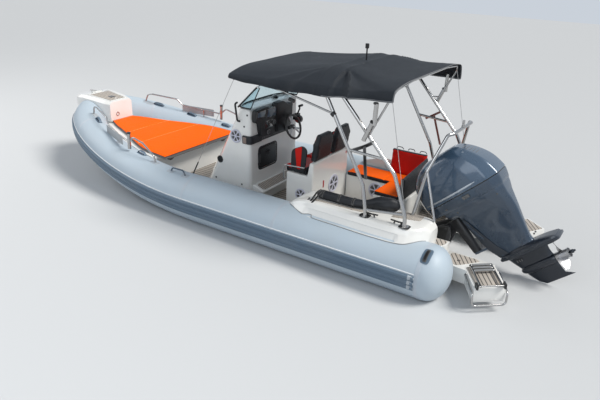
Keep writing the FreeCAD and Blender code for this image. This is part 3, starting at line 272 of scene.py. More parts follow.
@dataclass(frozen=True)
class Finish:
    """One paint, cloth, metal or plastic, and how it is dirtied."""

    name: str
    slot: str
    color: Rgb
    roughness: float = 0.4
    metallic: float = 0.0
    coat: float = 0.0
    sheen: float = 0.0
    specular: float = 0.5
    specks: float = 0.0
    planked: bool = False
    grain: float = 0.0
    creases: float = 0.0
    scale: float = 300.0
    relief: float = 0.0008
    dirt: float = 0.1
    wear: float = 0.15
    dirt_color: Rgb = (0.30, 0.26, 0.20)
    worn_color: Rgb = (0.85, 0.85, 0.85)
    dirt_scale: float = 2.5
    across: Point = (0.0, 1.0, 0.0)
    board: float = 0.045
    line_color: Rgb = (0.03, 0.03, 0.03)
    second_color: Rgb = (0.3, 0.26, 0.2)

    def material(self) -> Material:
        """Builds the node material, or returns the one already built.

        Returns:
            The material of this finish.
        """
        if self.name in bpy.data.materials:
            return bpy.data.materials[self.name]
        material = bpy.data.materials.new(self.name)
        material.use_nodes = True
        n = Nodes(material.node_tree)
        shader = n.add("ShaderNodeBsdfPrincipled", Metallic=self.metallic, Coat_Weight=self.coat,
                       Coat_Roughness=0.08, Sheen_Weight=self.sheen, Specular_IOR_Level=self.specular)
        output = n.add("ShaderNodeOutputMaterial", Surface=shader.outputs[0])
        output.is_active_output = True
        color: object = (*self.color, 1.0)
        line = None
        if self.planked:
            boards = n.add("ShaderNodeGroup", at_node_tree=planking(), Across=tuple(self.across),
                           Board=self.board)
            wood = n.mix(boards.outputs["Tone"], self.second_color, self.color)
            line = boards.outputs["Line"]
            color = n.mix(line, wood, self.line_color)
        soil = n.add("ShaderNodeGroup", at_node_tree=weathering(), Color=color, Dirt=self.dirt,
                     Wear=self.wear, Dirt_Color=(*self.dirt_color, 1), Worn_Color=(*self.worn_color, 1),
                     Scale=self.dirt_scale, Roughness=self.roughness)
        tint = soil.outputs["Color"]
        if self.specks:
            where = n.add("ShaderNodeTexCoord").outputs["Object"]
            cells = n.add("ShaderNodeTexVoronoi", Vector=where, Scale=7.0)
            size = n.add("ShaderNodeSeparateColor", Color=cells.outputs["Color"])
            near = n.math("MULTIPLY", n.ramp(size.outputs[0], 0.72, 1.0), self.specks)
            spot = n.math("LESS_THAN", cells.outputs["Distance"], near)
            tint = n.mix(spot, tint, (0.55, 0.55, 0.53))
        n.tree.links.new(tint, shader.inputs["Base Color"])
        n.tree.links.new(soil.outputs["Roughness"], shader.inputs["Roughness"])
        if self.grain or self.creases or line:
            fine = n.add("ShaderNodeGroup", at_node_tree=fine_relief(), Scale=self.scale, Grain=self.grain,
                         Creases=self.creases)
            height = fine.outputs["Height"]
            if line:
                height = n.math("SUBTRACT", height, n.math("MULTIPLY", line, 2.0))
            bump = n.add("ShaderNodeBump", Distance=self.relief, Strength=0.8, Height=height)
            n.tree.links.new(bump.outputs[0], shader.inputs["Normal"])
        return material


@dataclass(frozen=True)
class GlassFinish:
    """A clear or tinted sheet."""

    name: str
    slot: str
    color: Rgb
    roughness: float = 0.03

    def material(self) -> Material:
        """The material of this glass."""
        if self.name in bpy.data.materials:
            return bpy.data.materials[self.name]
        material = bpy.data.materials.new(self.name)
        material.use_nodes = True
        n = Nodes(material.node_tree)
        where = n.add("ShaderNodeTexCoord").outputs["Object"]
        salt = n.add("ShaderNodeTexNoise", Vector=where, Scale=60.0, Detail=5.0)
        rough = n.math("ADD", self.roughness, n.math("MULTIPLY", n.ramp(salt.outputs["Fac"], 0.5, 0.8), 0.1))
        shader = n.add("ShaderNodeBsdfPrincipled", Transmission_Weight=1.0, IOR=1.05, Roughness=rough,
                       Base_Color=(*self.color, 1.0))
        output = n.add("ShaderNodeOutputMaterial", Surface=shader.outputs[0])
        output.is_active_output = True
        return material


# Finishes, named for what they are on the boat
TUBE_CLOTH = Finish("Tube cloth", "tube_cloth", (0.435, 0.515, 0.585), 0.46, grain=0.6, creases=0.5,
                    scale=900, relief=0.0006, dirt=0.10, wear=0.0, dirt_color=(0.40, 0.41, 0.40))
TUBE_SEAM = Finish("Tube seam tape", "tube_cloth", (0.45, 0.51, 0.575), 0.42, grain=0.6, scale=900,
                   relief=0.0004, dirt=0.14, wear=0.0, dirt_color=(0.38, 0.38, 0.36))
STRAKE_RUBBER = Finish("Strake rubber", "strake_rubber", (0.092, 0.145, 0.205), 0.5, grain=0.5, creases=0.6,
                       scale=500, relief=0.0008, dirt=0.12, wear=0.3, worn_color=(0.22, 0.28, 0.34),
                       dirt_color=(0.26, 0.28, 0.28))
RUBBER_TIP = Finish("Strake tip", "strake_rubber", (0.38, 0.43, 0.48), 0.5, grain=0.4, scale=500, dirt=0.2)
PIPING = Finish("White piping", "tube_cloth", (0.80, 0.82, 0.84), 0.45, grain=0.3, scale=400, dirt=0.12)
GELCOAT = Finish("White gelcoat", "gelcoat", (0.80, 0.80, 0.78), 0.16, coat=0.6, grain=0.0, creases=0.8,
                 scale=25, relief=0.0005, dirt=0.07, wear=0.0, dirt_color=(0.50, 0.45, 0.36))
SEALANT = Finish("Grey joint bead", "gelcoat", (0.22, 0.24, 0.26), 0.5, dirt=0.2)
ORANGE_VINYL = Finish("Orange vinyl", "orange_vinyl", (1.0, 0.130, 0.002), 0.55, specular=0.08, grain=1.0,
                      creases=0.8, scale=420, relief=0.0007, dirt=0.06, wear=0.0,
                      dirt_color=(0.55, 0.10, 0.02))
ORANGE_WELT = Finish("Orange welt", "orange_vinyl", (1.0, 0.26, 0.06), 0.55, specular=0.1, dirt=0.05)
HANDLE_RUBBER = Finish("Handle rubber", "strake_rubber", (0.055, 0.085, 0.125), 0.5, grain=0.5, scale=400,
                       dirt=0.15, dirt_color=(0.2, 0.21, 0.22))
RED_VINYL = Finish("Red vinyl", "red_vinyl", (0.60, 0.008, 0.003), 0.45, specular=0.2, grain=1.0,
                   creases=0.8, scale=420, relief=0.0007, dirt=0.08, wear=0.0, dirt_color=(0.2, 0.01, 0.01))
DARK_VINYL = Finish("Charcoal vinyl", "dark_vinyl", (0.014, 0.016, 0.020), 0.42, specular=0.3, grain=1.0,
                    creases=0.8, scale=380, relief=0.0008, dirt=0.15, wear=0.3,
                    worn_color=(0.05, 0.05, 0.055), dirt_color=(0.035, 0.035, 0.036))
GREY_VINYL = Finish("Grey vinyl", "dark_vinyl", (0.11, 0.12, 0.135), 0.5, specular=0.3, grain=1.0,
                    creases=0.6, scale=380, relief=0.0008, dirt=0.2)
STAINLESS = Finish("Stainless tube", "stainless", (0.46, 0.455, 0.45), 0.16, 1.0, grain=0.2, scale=700,
                   relief=0.0001, dirt=0.10, wear=0.0, dirt_color=(0.38, 0.33, 0.27))
BLACK_PLASTIC = Finish("Black plastic", "black_plastic", (0.011, 0.012, 0.014), 0.42, specular=0.35,
                       grain=0.8, scale=600, relief=0.0004, dirt=0.15, wear=0.4,
                       worn_color=(0.05, 0.05, 0.05), dirt_color=(0.035, 0.035, 0.035))
GLOSS_BLACK = Finish("Gloss black", "black_plastic", (0.010, 0.011, 0.013), 0.12, coat=0.5, dirt=0.1,
                     dirt_color=(0.05, 0.05, 0.05))
DISPLAY = Finish("Display glass", "black_plastic", (0.060, 0.095, 0.135), 0.12, specular=0.3, dirt=0.1)
WEBBING = Finish("Black webbing", "black_plastic", (0.008, 0.008, 0.009), 0.75, specular=0.2, grain=1.0,
                 scale=700, relief=0.0008, dirt=0.2, dirt_color=(0.06, 0.06, 0.06))
WHEEL_GRIP = Finish("Wheel grip", "wheel_grip", (0.012, 0.012, 0.013), 0.4, grain=1.0, scale=500,
                    relief=0.0005)
CANOPY_CLOTH = Finish("Canopy cloth", "canopy_cloth", (0.0105, 0.0145, 0.0205), 0.62, specular=0.3,
                      specks=0.055, grain=1.0, creases=1.6, scale=800, relief=0.0012, dirt=0.22, wear=0.2,
                      dirt_color=(0.028, 0.031, 0.037), worn_color=(0.05, 0.055, 0.06))
CANOPY_HEM = Finish("Canopy hem tape", "canopy_cloth", (0.10, 0.105, 0.115), 0.7, specular=0.25, grain=1.0,
                    scale=800, relief=0.0008, dirt=0.2, dirt_color=(0.14, 0.14, 0.14))
COWL_PAINT = Finish("Cowl paint", "cowl_paint", (0.050, 0.092, 0.150), 0.27, 0.2, coat=1.0, creases=0.3,
                    scale=30, relief=0.0002, dirt=0.06, wear=0.1, dirt_color=(0.10, 0.12, 0.15),
                    worn_color=(0.2, 0.25, 0.3))
COWL_ACCENT = Finish("Cowl accent", "cowl_paint", (0.42, 0.48, 0.55), 0.25, 0.6, coat=0.8, dirt=0.05)
LEG_PAINT = Finish("Leg paint", "leg_paint", (0.030, 0.056, 0.094), 0.27, 0.2, coat=0.8, creases=0.3,
                   scale=30, relief=0.0003, dirt=0.12, wear=0.2, dirt_color=(0.10, 0.11, 0.12),
                   worn_color=(0.2, 0.24, 0.3))
# A darker copy of the leg paint. On the leg's covers it is their own navy. On the gearcase it is partly
# painted reflection: the lower leg is painted darker for the dark that it reflects.
NAVY_PAINT_AND_PAINTED_REFLECTION = Finish("Navy leg paint", "leg_paint", (0.008, 0.013, 0.023), 0.3, 0.2, coat=0.4, creases=0.3,
                    scale=30, relief=0.0003, dirt=0.15, wear=0.3, dirt_color=(0.06, 0.06, 0.06),
                    worn_color=(0.10, 0.12, 0.15))
BRACKET_BLACK = Finish("Bracket black", "leg_paint", (0.010, 0.011, 0.013), 0.38, grain=0.6, scale=300,
                       relief=0.0005, dirt=0.25, wear=0.5, dirt_color=(0.07, 0.065, 0.06),
                       worn_color=(0.15, 0.15, 0.16))
ENGINE_GREY = Finish("Engine block", "engine", (0.05, 0.052, 0.055), 0.6, 0.5, grain=1.0, scale=200, dirt=0.3)
PROP_STEEL = Finish("Propeller steel", "prop_steel", (0.45, 0.45, 0.46), 0.36, 1.0, grain=0.4, scale=400,
                    relief=0.0002, dirt=0.12, dirt_color=(0.35, 0.31, 0.26))
BROWN_BOARD = Finish("Dark brown board", "gelcoat", (0.055, 0.042, 0.036), 0.5, grain=0.8, scale=300,
                     relief=0.0006, dirt=0.25, dirt_color=(0.13, 0.11, 0.09))
BROWN_LEATHER = Finish("Brown panel", "gelcoat", (0.13, 0.065, 0.040), 0.45, grain=0.8, scale=300, dirt=0.2)
SPEAKER_WHITE = Finish("Speaker white", "black_plastic", (0.56, 0.57, 0.68), 0.35, dirt=0.12, wear=0.1)
SPEAKER_MESH = Finish("Speaker mesh", "black_plastic", (0.012, 0.012, 0.016), 0.5, grain=1.0, scale=420,
                      relief=0.002)
SWITCH_GREY = Finish("Switch grey", "black_plastic", (0.06, 0.062, 0.066), 0.4, dirt=0.1)
RED_PLASTIC = Finish("Red plastic", "black_plastic", (0.45, 0.01, 0.01), 0.3, dirt=0.1)
RED_STRAP = Finish("Rust red webbing", "black_plastic", (0.20, 0.045, 0.03), 0.7, sheen=0.3, grain=1.0,
                   scale=700, dirt=0.35, dirt_color=(0.08, 0.07, 0.06))
TREAD_GREY = Finish("Ladder tread", "black_plastic", (0.16, 0.17, 0.18), 0.5, grain=1.0, scale=260, dirt=0.25)
BOARD_GREY = Finish("Board grey", "gelcoat", (0.36, 0.38, 0.40), 0.5, grain=0.4, scale=200, dirt=0.3,
                    dirt_color=(0.2, 0.19, 0.17))
TEAK_WARM: Rgb = (0.54, 0.49, 0.435)
TEAK_COOL: Rgb = (0.43, 0.385, 0.34)
ACRYLIC = GlassFinish("Tinted acrylic", "screen", (0.72, 0.86, 0.90))


def teak(name: str, across: Point, board: float, slot: str = "teak") -> Finish:
    """Imitation teak whose boards step in a direction.

    Args:
        name: the material's name.
        across: unit vector across the boards.
        board: width of one board.
        slot: the record's slot.

    Returns:
        The finish.
    """
    return Finish(name, slot, TEAK_WARM, 0.62, planked=True, grain=0.5, creases=0.5, scale=500,
                  relief=0.0008, dirt=0.15, wear=0.0, dirt_color=(0.24, 0.21, 0.18), across=across,
                  board=board, second_color=TEAK_COOL)


# Mesh building


def lerp(a: float, b: float, share: float) -> float:
    """The value a share of the way from a to b."""
    return a + (b - a) * share


def smoothstep(value: float) -> float:
    """Eased 0 to 1."""
    t = min(1.0, max(0.0, value))
    return t * t * (3 - 2 * t)


def spline(table: Sequence[Sequence[float]], at: float) -> list[float]:
    """Smoothly interpolated row of a table.

    Args:
        table: rows that start with the key, in rising order of it.
        at: the key to read.

    Returns:
        The row's other values at that key.
    """
    keys = [row[0] for row in table]
    index = max(0, min(len(keys) - 2, sum(1 for k in keys if k <= at) - 1))
    span = keys[index + 1] - keys[index]
    t = min(1.0, max(0.0, (at - keys[index]) / span))
    values = []
    for column in range(1, len(table[0])):
        p = [table[max(0, min(len(table) - 1, index + k))] for k in (-1, 0, 1, 2)]
        before, a, b, after = (row[column] for row in p)
        slope_a = (b - before) / max(1e-9, p[2][0] - p[0][0]) * span
        slope_b = (after - a) / max(1e-9, p[3][0] - p[1][0]) * span
        values.append((2 * t ** 3 - 3 * t ** 2 + 1) * a + (t ** 3 - 2 * t ** 2 + t) * slope_a
                      + (-2 * t ** 3 + 3 * t ** 2) * b + (t ** 3 - t ** 2) * slope_b)
    return values


def frange(start: float, end: float, count: int) -> list[float]:
    """Count values from start to end."""
    return [lerp(start, end, i / (count - 1)) for i in range(count)]


def circle(count: int) -> list[float]:
    """The angles of count even steps round a circle."""
    return [2 * math.pi * k / count for k in range(count)]


def mirrored(points: Outline) -> list[tuple[float, float]]:
    """Points of the port side, then the same ones to starboard on the way back."""
    return [*points, *((x, -y) for x, y in points[::-1])]


def slab(outline: Outline, y0: float, y1: float) -> list[Ring]:
    """Two sections of an upright slab whose outline is in x and z."""
    return [[Vector((x, y, z)) for x, z in outline] for y in (y0, y1)]


def skin(bm: BMesh, rings: Sequence[Ring], closed: bool = True, caps: bool = True,
         material: int = 0) -> None:
    """Adds quads between rings of equally many points.

    Args:
        bm: the mesh that grows.
        rings: the sections in order.
        closed: whether each ring joins its last point to its first.
        caps: whether the first and last ring get a face.
        material: material index of the faces.
    """
    rows = [[bm.verts.new(p) for p in ring] for ring in rings]
    count = len(rows[0])
    for low, high in zip(rows, rows[1:]):
        for i in range(count if closed else count - 1):
            j = (i + 1) % count
            face = bm.faces.new((low[i], low[j], high[j], high[i]))
            face.material_index = material
    if caps:
        for row in (rows[0][::-1], rows[-1]):
            face = bm.faces.new(row)
            face.material_index = material


def finished(name: str, bm: BMesh, finishes: Sequence[Finish | GlassFinish], body: Body = Body.BOAT,
             angle: float = 35.0, bevel: float = 0.0, segments: int = 2,
             solid: float = 0.0) -> Object:
    """Makes a piece of a mesh: merged, closed outwards, smoothed and dressed.

    Args:
        name: the piece's name.
        bm: its mesh, freed here.
        finishes: one finish for each material index.
        body: the frame body that it rides on.
        angle: edges sharper than this stay sharp, in degrees.
        bevel: width of rounded edges.
        segments: steps of that rounding.
        solid: wall thickness of an open sheet.

    Returns:
        The finished object.
    """
    bmesh.ops.remove_doubles(bm, verts=bm.verts, dist=1e-5)
    bmesh.ops.recalc_face_normals(bm, faces=bm.faces)
    mesh = bpy.data.meshes.new(name)
    bm.to_mesh(mesh)
    bm.free()
    piece = bpy.data.objects.new(name, mesh)
    bpy.context.collection.objects.link(piece)
    for finish in finishes:
        mesh.materials.append(finish.material())
    if bevel:
        modifier = piece.modifiers.new("Rounding", "BEVEL")
        modifier.width = bevel
        modifier.segments = segments
        modifier.limit_method = "ANGLE"
        modifier.angle_limit = math.radians(28)
    if solid:
        modifier = piece.modifiers.new("Wall", "SOLIDIFY")
        modifier.thickness = solid
        modifier.offset = 0
    apply_modifiers(piece)
    smooth(piece, angle)
    dress(piece, body)
    return piece


def apply_modifiers(piece: Object) -> None:
    """Turns the evaluated piece into its plain mesh."""
    if not piece.modifiers:
        return
    graph = bpy.context.evaluated_depsgraph_get()
    mesh = bpy.data.meshes.new_from_object(piece.evaluated_get(graph), depsgraph=graph)
    piece.modifiers.clear()
    piece.data = mesh


def smooth(piece: Object, angle: float) -> None:
    """Smooth shading with edges kept sharp past an angle in degrees."""
    piece.data.shade_smooth()
    piece.data.set_sharp_from_angle(angle=math.radians(angle))


def dress(piece: Object, body: Body = Body.BOAT) -> None:
    """Attaches a piece to the frame body that it rides on."""
    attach(piece, body.value)


def node_mesh(node: str, flat: float = 1.5) -> BMesh:
    """A merged copy of a CAD node's mesh.

    Args:
        node: the node's name.
        flat: faces within this angle are joined, in degrees.

    Returns:
        The mesh.
    """
    bm = bmesh.new()
    bm.from_mesh(FRAME["nodes"][node].data)
    bmesh.ops.remove_doubles(bm, verts=bm.verts, dist=2e-5)
    if flat:
        bmesh.ops.dissolve_limit(bm, angle_limit=math.radians(flat), verts=bm.verts, edges=bm.edges)
    for face in bm.faces:
        face.material_index = 0
    return bm


def rounded_node(node: str, finish: Finish, radius: float, body: Body = Body.BOAT,
                 segments: int = 3) -> Object:
    """A CAD node's shape with rounded edges, in place of the node.

    Args:
        node: the node's name.
        finish: its finish.
        radius: size of the rounding.
        body: the body that it rides on.
        segments: steps of the rounding.

    Returns:
        The new piece.
    """
    piece = finished(node + "_shell", node_mesh(node), [finish], body, 40, bevel=radius,
                     segments=segments)
    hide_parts(node)
    return piece


def repaint(node: str, finish: Finish) -> None:
    """Gives a CAD node that stays a new material."""
    mesh = FRAME["nodes"][node].data
    mesh.materials.clear()
    mesh.materials.append(finish.material())


def box_mesh(low: Point, high: Point, bm: BMesh) -> None:
    """Adds a box from its lowest and its highest corner."""
    (x0, y0, z0), (x1, y1, z1) = low, high
    skin(bm, [[Vector((x, y, z)) for x, y in ((x0, y0), (x1, y0), (x1, y1), (x0, y1))] for z in (z0, z1)])


def plane_axes(direction: Vector) -> tuple[Vector, Vector]:
    """Two unit vectors square to a direction, the second one as near to up as it can be."""
    way = direction.normalized()
    up = Vector((0, 0, 1)) if abs(way.z) < 0.95 else Vector((1, 0, 0))
    side = way.cross(up).normalized()
    return side, side.cross(way).normalized()


def bar(bm: BMesh, points: Sequence[Point], radius: float | Callable[[float], float], sides: int = 16,
        material: int = 0, flatten: float = 1.0, side_hint: Vector | None = None,
        bend: float = 0.0) -> None:
    """A round or oval bar along points.

    Args:
        bm: the mesh that grows.
        points: the route.
        radius: the radius, or a function of the share of the route.
        sides: faces round it.
        material: material index.
        flatten: thickness across the side direction as a share of the width.
        side_hint: the direction of the bar's width.
        bend: how far each corner's rounding reaches, or 0 to leave the corners.
    """
    route = rounded_route(points, bend) if bend else [Vector(p) for p in points]
    rings = []
    side = None
    for i, p in enumerate(route):
        way = (route[min(i + 1, len(route) - 1)] - route[max(i - 1, 0)]).normalized()
        if side_hint is not None:
            side = (side_hint - way * side_hint.dot(way)).normalized()
        elif side is None:
            side = plane_axes(way)[0]
        else:
            side = (side - way * side.dot(way)).normalized()
        up = side.cross(way)
        r = radius(i / (len(route) - 1)) if callable(radius) else radius
        rings.append([p + side * (r * math.cos(a)) + up * (r * flatten * math.sin(a))
                      for a in circle(sides)])
    skin(bm, rings, material=material)


def rounded_corner(before: Vector, here: Vector, after: Vector, bend: float, steps: int) -> list[Vector]:
    """Points of one rounded corner.

    Args:
        before: the corner before it.
        here: the corner.
        after: the corner after it.
        bend: how far the rounding reaches along both sides.
        steps: steps of the rounding.

    Returns:
        The points, the two ends of the rounding with them.
    """
    back, ahead = before - here, after - here
    reach = min(bend, 0.48 * back.length, 0.48 * ahead.length)
    a, b = here + back.normalized() * reach, here + ahead.normalized() * reach
    shares = [i / steps for i in range(steps + 1)]
    return [a * (1 - t) ** 2 + here * (2 * t * (1 - t)) + b * t ** 2 for t in shares]


def rounded_route(points: Sequence[Point], bend: float, steps: int = 6) -> list[Vector]:
    """A route of straight runs with rounded corners.

    Args:
        points: its corners.
        bend: how far each corner's rounding reaches.
        steps: steps of each rounding.

    Returns:
        The points of the route.
    """
    corners = [Vector(p) for p in points]
    route = [corners[0]]
    for before, here, after in zip(corners, corners[1:], corners[2:]):
        route += rounded_corner(before, here, after, bend, steps)
    return [*route, corners[-1]]


def rounded_outline(corners: Outline, radius: float, steps: int = 5) -> list[tuple[float, float]]:
    """A flat closed outline with rounded corners.

    Args:
        corners: its corners in order.
        radius: how far each rounding reaches along the sides.
        steps: steps of each rounding.

    Returns:
        The outline's points.
    """
    at = [Vector(corner) for corner in corners]
    points = []
    for before, here, after in zip(at[-1:] + at, at, at[1:] + at[:1]):
        points += [(p.x, p.y) for p in rounded_corner(before, here, after, radius, steps)]
    return points


def rounded_box(x0: float, y0: float, x1: float, y1: float, radius: float) -> list[tuple[float, float]]:
    """The outline of a rectangle with rounded corners."""
    return rounded_outline([(x0, y0), (x1, y0), (x1, y1), (x0, y1)], radius)


def disc(bm: BMesh, centre: Point, way: Point, profile: Outline, sides: int = 32) -> None:
    """A turned shape about an axis, closed at both ends.

    Args:
        bm: the mesh that grows.
        centre: a point on the axis.
        way: the axis.
        profile: radius and distance along the axis of each ring.
        sides: faces round it.
    """
    axis = Vector(way).normalized()
    side, up = plane_axes(axis)
    rings = [[Vector(centre) + axis * along + (side * math.cos(a) + up * math.sin(a)) * max(radius, 1e-4)
              for a in circle(sides)] for radius, along in profile]
    skin(bm, rings)


def wrinkle(p: Vector, scale: float, seed: float = 0.0) -> float:
    """Smooth seeded noise between about -1 and 1."""
    return noise.noise(Vector((p.x * scale + seed, p.y * scale - seed, p.z * scale + 2 * seed)))


# Buoyancy tubes and hull


@dataclass
class Tubes:
    """Two air-filled tubes that meet at the bow, with their strakes, seams, patches and handles."""

    half_spacing: float = 1.031
    radius_aft: float = 0.308
    radius_bow: float = 0.248
    centre_z: float = 0.280
    straight_end_x: float = 0.506
    sheer_start_x: float = 0.196
    sheer_rise: float = 0.489
    sheer_power: float = 1.7
    cap_length: float = 0.235
    sides: int = 64
    seam_xs: tuple[float, ...] = (-3.20, -1.36, 0.10)
    seam_turns: tuple[float, ...] = (24.0, 62.0)
    seam_width: float = 0.045
    strake_stern_x: float = -3.190
    strake_top_deg: float = 13.0
    rib_deg: float = 10.5
    rib_height: float = 0.021
    groove_height: float = 0.008
    rib: Outline = ((0.0, 0.0), (0.10, 0.25), (0.16, 0.75), (0.25, 0.97), (0.42, 1.0), (0.6, 0.97),
                    (0.70, 0.75), (0.76, 0.25), (0.88, 0.0))
    piping_deg: float = 16.5
    strap_xs: tuple[float, ...] = (1.23, 1.90, 2.50)
    strap_deg: float = 104.0
    stern_strap: tuple[float, float] = (-3.235, 60.0)
    valve_xs: tuple[float, ...] = (-2.05, 0.30)
    valve_deg: float = 146.0
    stern_x: float = field(init=False)
    bow_x: float = field(init=False)

    def __post_init__(self) -> None:
        """Takes the length from the frame."""
        low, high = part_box("tube_port")
        self.stern_x = low[0]
        self.bow_x = high[0] - self.radius_bow

    def station(self, x: float | None = None, turn_deg: float | None = None) -> Place:
        """Centre, outboard direction and radius of the port tube.

        Args:
            x: the place along the boat, or None.
            turn_deg: how far the tube has turned there, in place of x.

        Returns:
            Centre, outboard direction in plan, radius.
        """
        reach = self.bow_x - self.straight_end_x
        turn, y = 0.0, self.half_spacing
        if turn_deg is not None:
            turn = math.radians(turn_deg)
            theta = math.atan2(math.sin(turn) * reach, math.cos(turn) * self.half_spacing)
            x = self.straight_end_x + reach * math.sin(theta)
            y = self.half_spacing * math.cos(theta)
        elif x > self.straight_end_x:
            share = min(0.99999, (x - self.straight_end_x) / reach)
            root = math.sqrt(1 - share * share)
            y = self.half_spacing * root
            turn = math.atan2(self.half_spacing * share, reach * root)
        rise = max(0.0, (x - self.sheer_start_x) / (self.bow_x - self.sheer_start_x))
        z = self.centre_z + self.sheer_rise * rise ** self.sheer_power
        radius = lerp(self.radius_aft, self.radius_bow, max(0.0, x / self.bow_x))
        return Vector((x, y, z)), Vector((math.sin(turn), math.cos(turn), 0)), radius

    def point(self, place: Place, angle_deg: float, lift: float, side: Side) -> Vector:
        """A point over the cloth: 0 degrees is outboard, 90 is up."""
        centre, out, radius = place
        angle = math.radians(angle_deg)
        p = centre + (out * math.cos(angle) + Vector((0, 0, math.sin(angle)))) * (radius + lift)
        return Vector((p.x, p.y * side.value, p.z))

    def over(self, x: float, angle_deg: float, lift: float, side: Side) -> Vector:
        """A point over the cloth at a place along the boat."""
        return self.point(self.station(x=x), angle_deg, lift, side)

    def stations(self, stern_x: float, step: float = 0.07) -> list[Place]:
        """Stations from stern_x to the bow."""
        count = int((self.straight_end_x - stern_x) / step)
        straight = [self.station(x=x) for x in frange(stern_x, self.straight_end_x, count)]
        return straight + [self.station(turn_deg=a) for a in frange(1.5, 90.0, 60)]

    def ring(self, place: Place, side: Side, lift: float = 0.0,
             uneven: bool = False) -> Ring:
        """A whole section over the cloth, with the cloth's own unevenness or without."""
        angles = [360.0 * i / self.sides for i in range(self.sides)]
        return [self.point(place, a, lift + (self.cloth_lift(place, a) if uneven else 0.0), side)
                for a in angles]

    def cloth_lift(self, place: Place, angle_deg: float) -> float:
        """How far the cloth stands off its round section: soft unevenness and gathers at the stern."""
        centre = place[0]
        p = self.point(place, angle_deg, 0, Side.PORT)
        gather = max(0.0, 1 - abs(centre.x - (self.stern_x + self.cap_length + 0.03)) / 0.05)
        pleats = 0.5 + 0.5 * math.sin(math.radians(angle_deg) * 46)
        return 0.0012 * wrinkle(p, 3.0, 7) - 0.0015 * gather * pleats

    def build(self) -> None:
        """Builds both sides."""
        for side in Side:
            name = side.name.lower()
            self.build_cloth(side, name)
            self.build_strake(side, name)
            self.build_fittings(side, name)
            LOG.info("tube, strake and fittings: %s", name)

    def build_cloth(self, side: Side, name: str) -> None:
        """The tube's cloth with a rounded stern, and the seam bands round it."""
        bm = bmesh.new()
        cap_x = self.stern_x + self.cap_length
        rings = []
        for i in range(1, 15):
            angle = math.pi / 2 * (1 - i / 15)
            share = math.cos(angle)
            centre = Vector((cap_x - self.cap_length * math.sin(angle), self.half_spacing, self.centre_z))
            rings.append(self.ring((centre, Vector((0, 1, 0)), self.radius_aft * share), side))
        for place in self.stations(cap_x, 0.03):
            rings.append(self.ring(place, side, uneven=True))
        skin(bm, rings)
        tube = finished("tube_cloth_" + name, bm, [TUBE_CLOTH], angle=60)
        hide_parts("tube_" + name)
        bm = bmesh.new()
        places = [self.station(x=x) for x in self.seam_xs]
        places += [self.station(turn_deg=a) for a in self.seam_turns]
        for place in places:
            centre, out, _ = place
            along = Vector((out.y, -out.x, 0))
            half = self.seam_width / 2
            band = []
            for offset, lift in ((-half, -0.001), (-half + 0.002, 0.0019), (half - 0.002, 0.0019),
                                 (half, -0.001)):
                near = self.station(x=min(centre.x + along.x * offset, self.bow_x - 0.01))
                band.append(self.ring(near, side, lift))
            skin(bm, band)
        finished("tube_seams_" + name, bm, [TUBE_SEAM], angle=50)

    def build_strake(self, side: Side, name: str) -> None:
        """Three rubber ribs with pale tips, and the white piping over them."""
        profile = []
        for index in range(3):
            top = self.strake_top_deg - index * self.rib_deg
            for share, height in self.rib:
                profile.append((top - share * self.rib_deg,
                                lerp(self.groove_height, self.rib_height, height)))
        foot_deg = self.strake_top_deg - 3 * self.rib_deg
        profile += [(foot_deg, self.groove_height), (foot_deg - 0.4, 0.0), (self.strake_top_deg + 0.4, 0.0)]
        bm = bmesh.new()
        rings = []
        for place in self.stations(self.strake_stern_x + 0.012, 0.05):
            rings.append([self.point(place, a, t, side) for a, t in profile])
        skin(bm, rings)
        strake = finished("strake_ribs_" + name, bm, [STRAKE_RUBBER], angle=38)
        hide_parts("strake_" + name)
        bm = bmesh.new()
        for index in range(3):
            middle = self.strake_top_deg - (index + 0.42) * self.rib_deg
            tip = []
            for share in (0.02, 0.12, 0.3, 0.6, 0.85, 1.0):
                x = self.strake_stern_x + 0.075 * share
                swell = math.sqrt(1 - (1 - share) ** 2) if share < 1 else 1.0
                place = self.station(x=x)
                tip.append([self.point(place, middle + 4.6 * swell * math.cos(a),
                                       0.010 + 0.0125 * swell * math.sin(a), side) for a in circle(16)])
            skin(bm, tip)
        finished("strake_tips_" + name, bm, [RUBBER_TIP], angle=50)
        bm = bmesh.new()
        line = [self.point(p, self.piping_deg, 0.001, side)
                for p in self.stations(self.strake_stern_x + 0.02, 0.06)]
        bar(bm, line, 0.006, 8)
        finished("strake_piping_" + name, bm, [PIPING], angle=60)

    def patch(self, bm: BMesh, x: float, angle_deg: float, long: float, wide: float, side: Side,
              thick: float = 0.003) -> None:
        """A rounded flat patch on the cloth.

        Args:
            bm: the mesh that grows.
            x: its middle along the boat.
            angle_deg: its middle round the tube.
            long: length along the boat.
            wide: width round the tube.
            side: the side of the boat.
            thick: how far it stands up.
        """
        radius = self.station(x=x)[2]
        rings = []
        for grow, lift in ((1.0, 0.0005), (1.0, thick * 0.7), (0.94, thick), (0.5, thick), (0.02, thick)):
            ring = []
            for a in circle(28):
                dx = grow * long / 2 * math.copysign(abs(math.cos(a)) ** 0.45, math.cos(a))
                dw = grow * wide / 2 * math.copysign(abs(math.sin(a)) ** 0.45, math.sin(a))
                ring.append(self.over(x + dx, angle_deg + math.degrees(dw / radius), lift, side))
            rings.append(ring)
        skin(bm, rings)

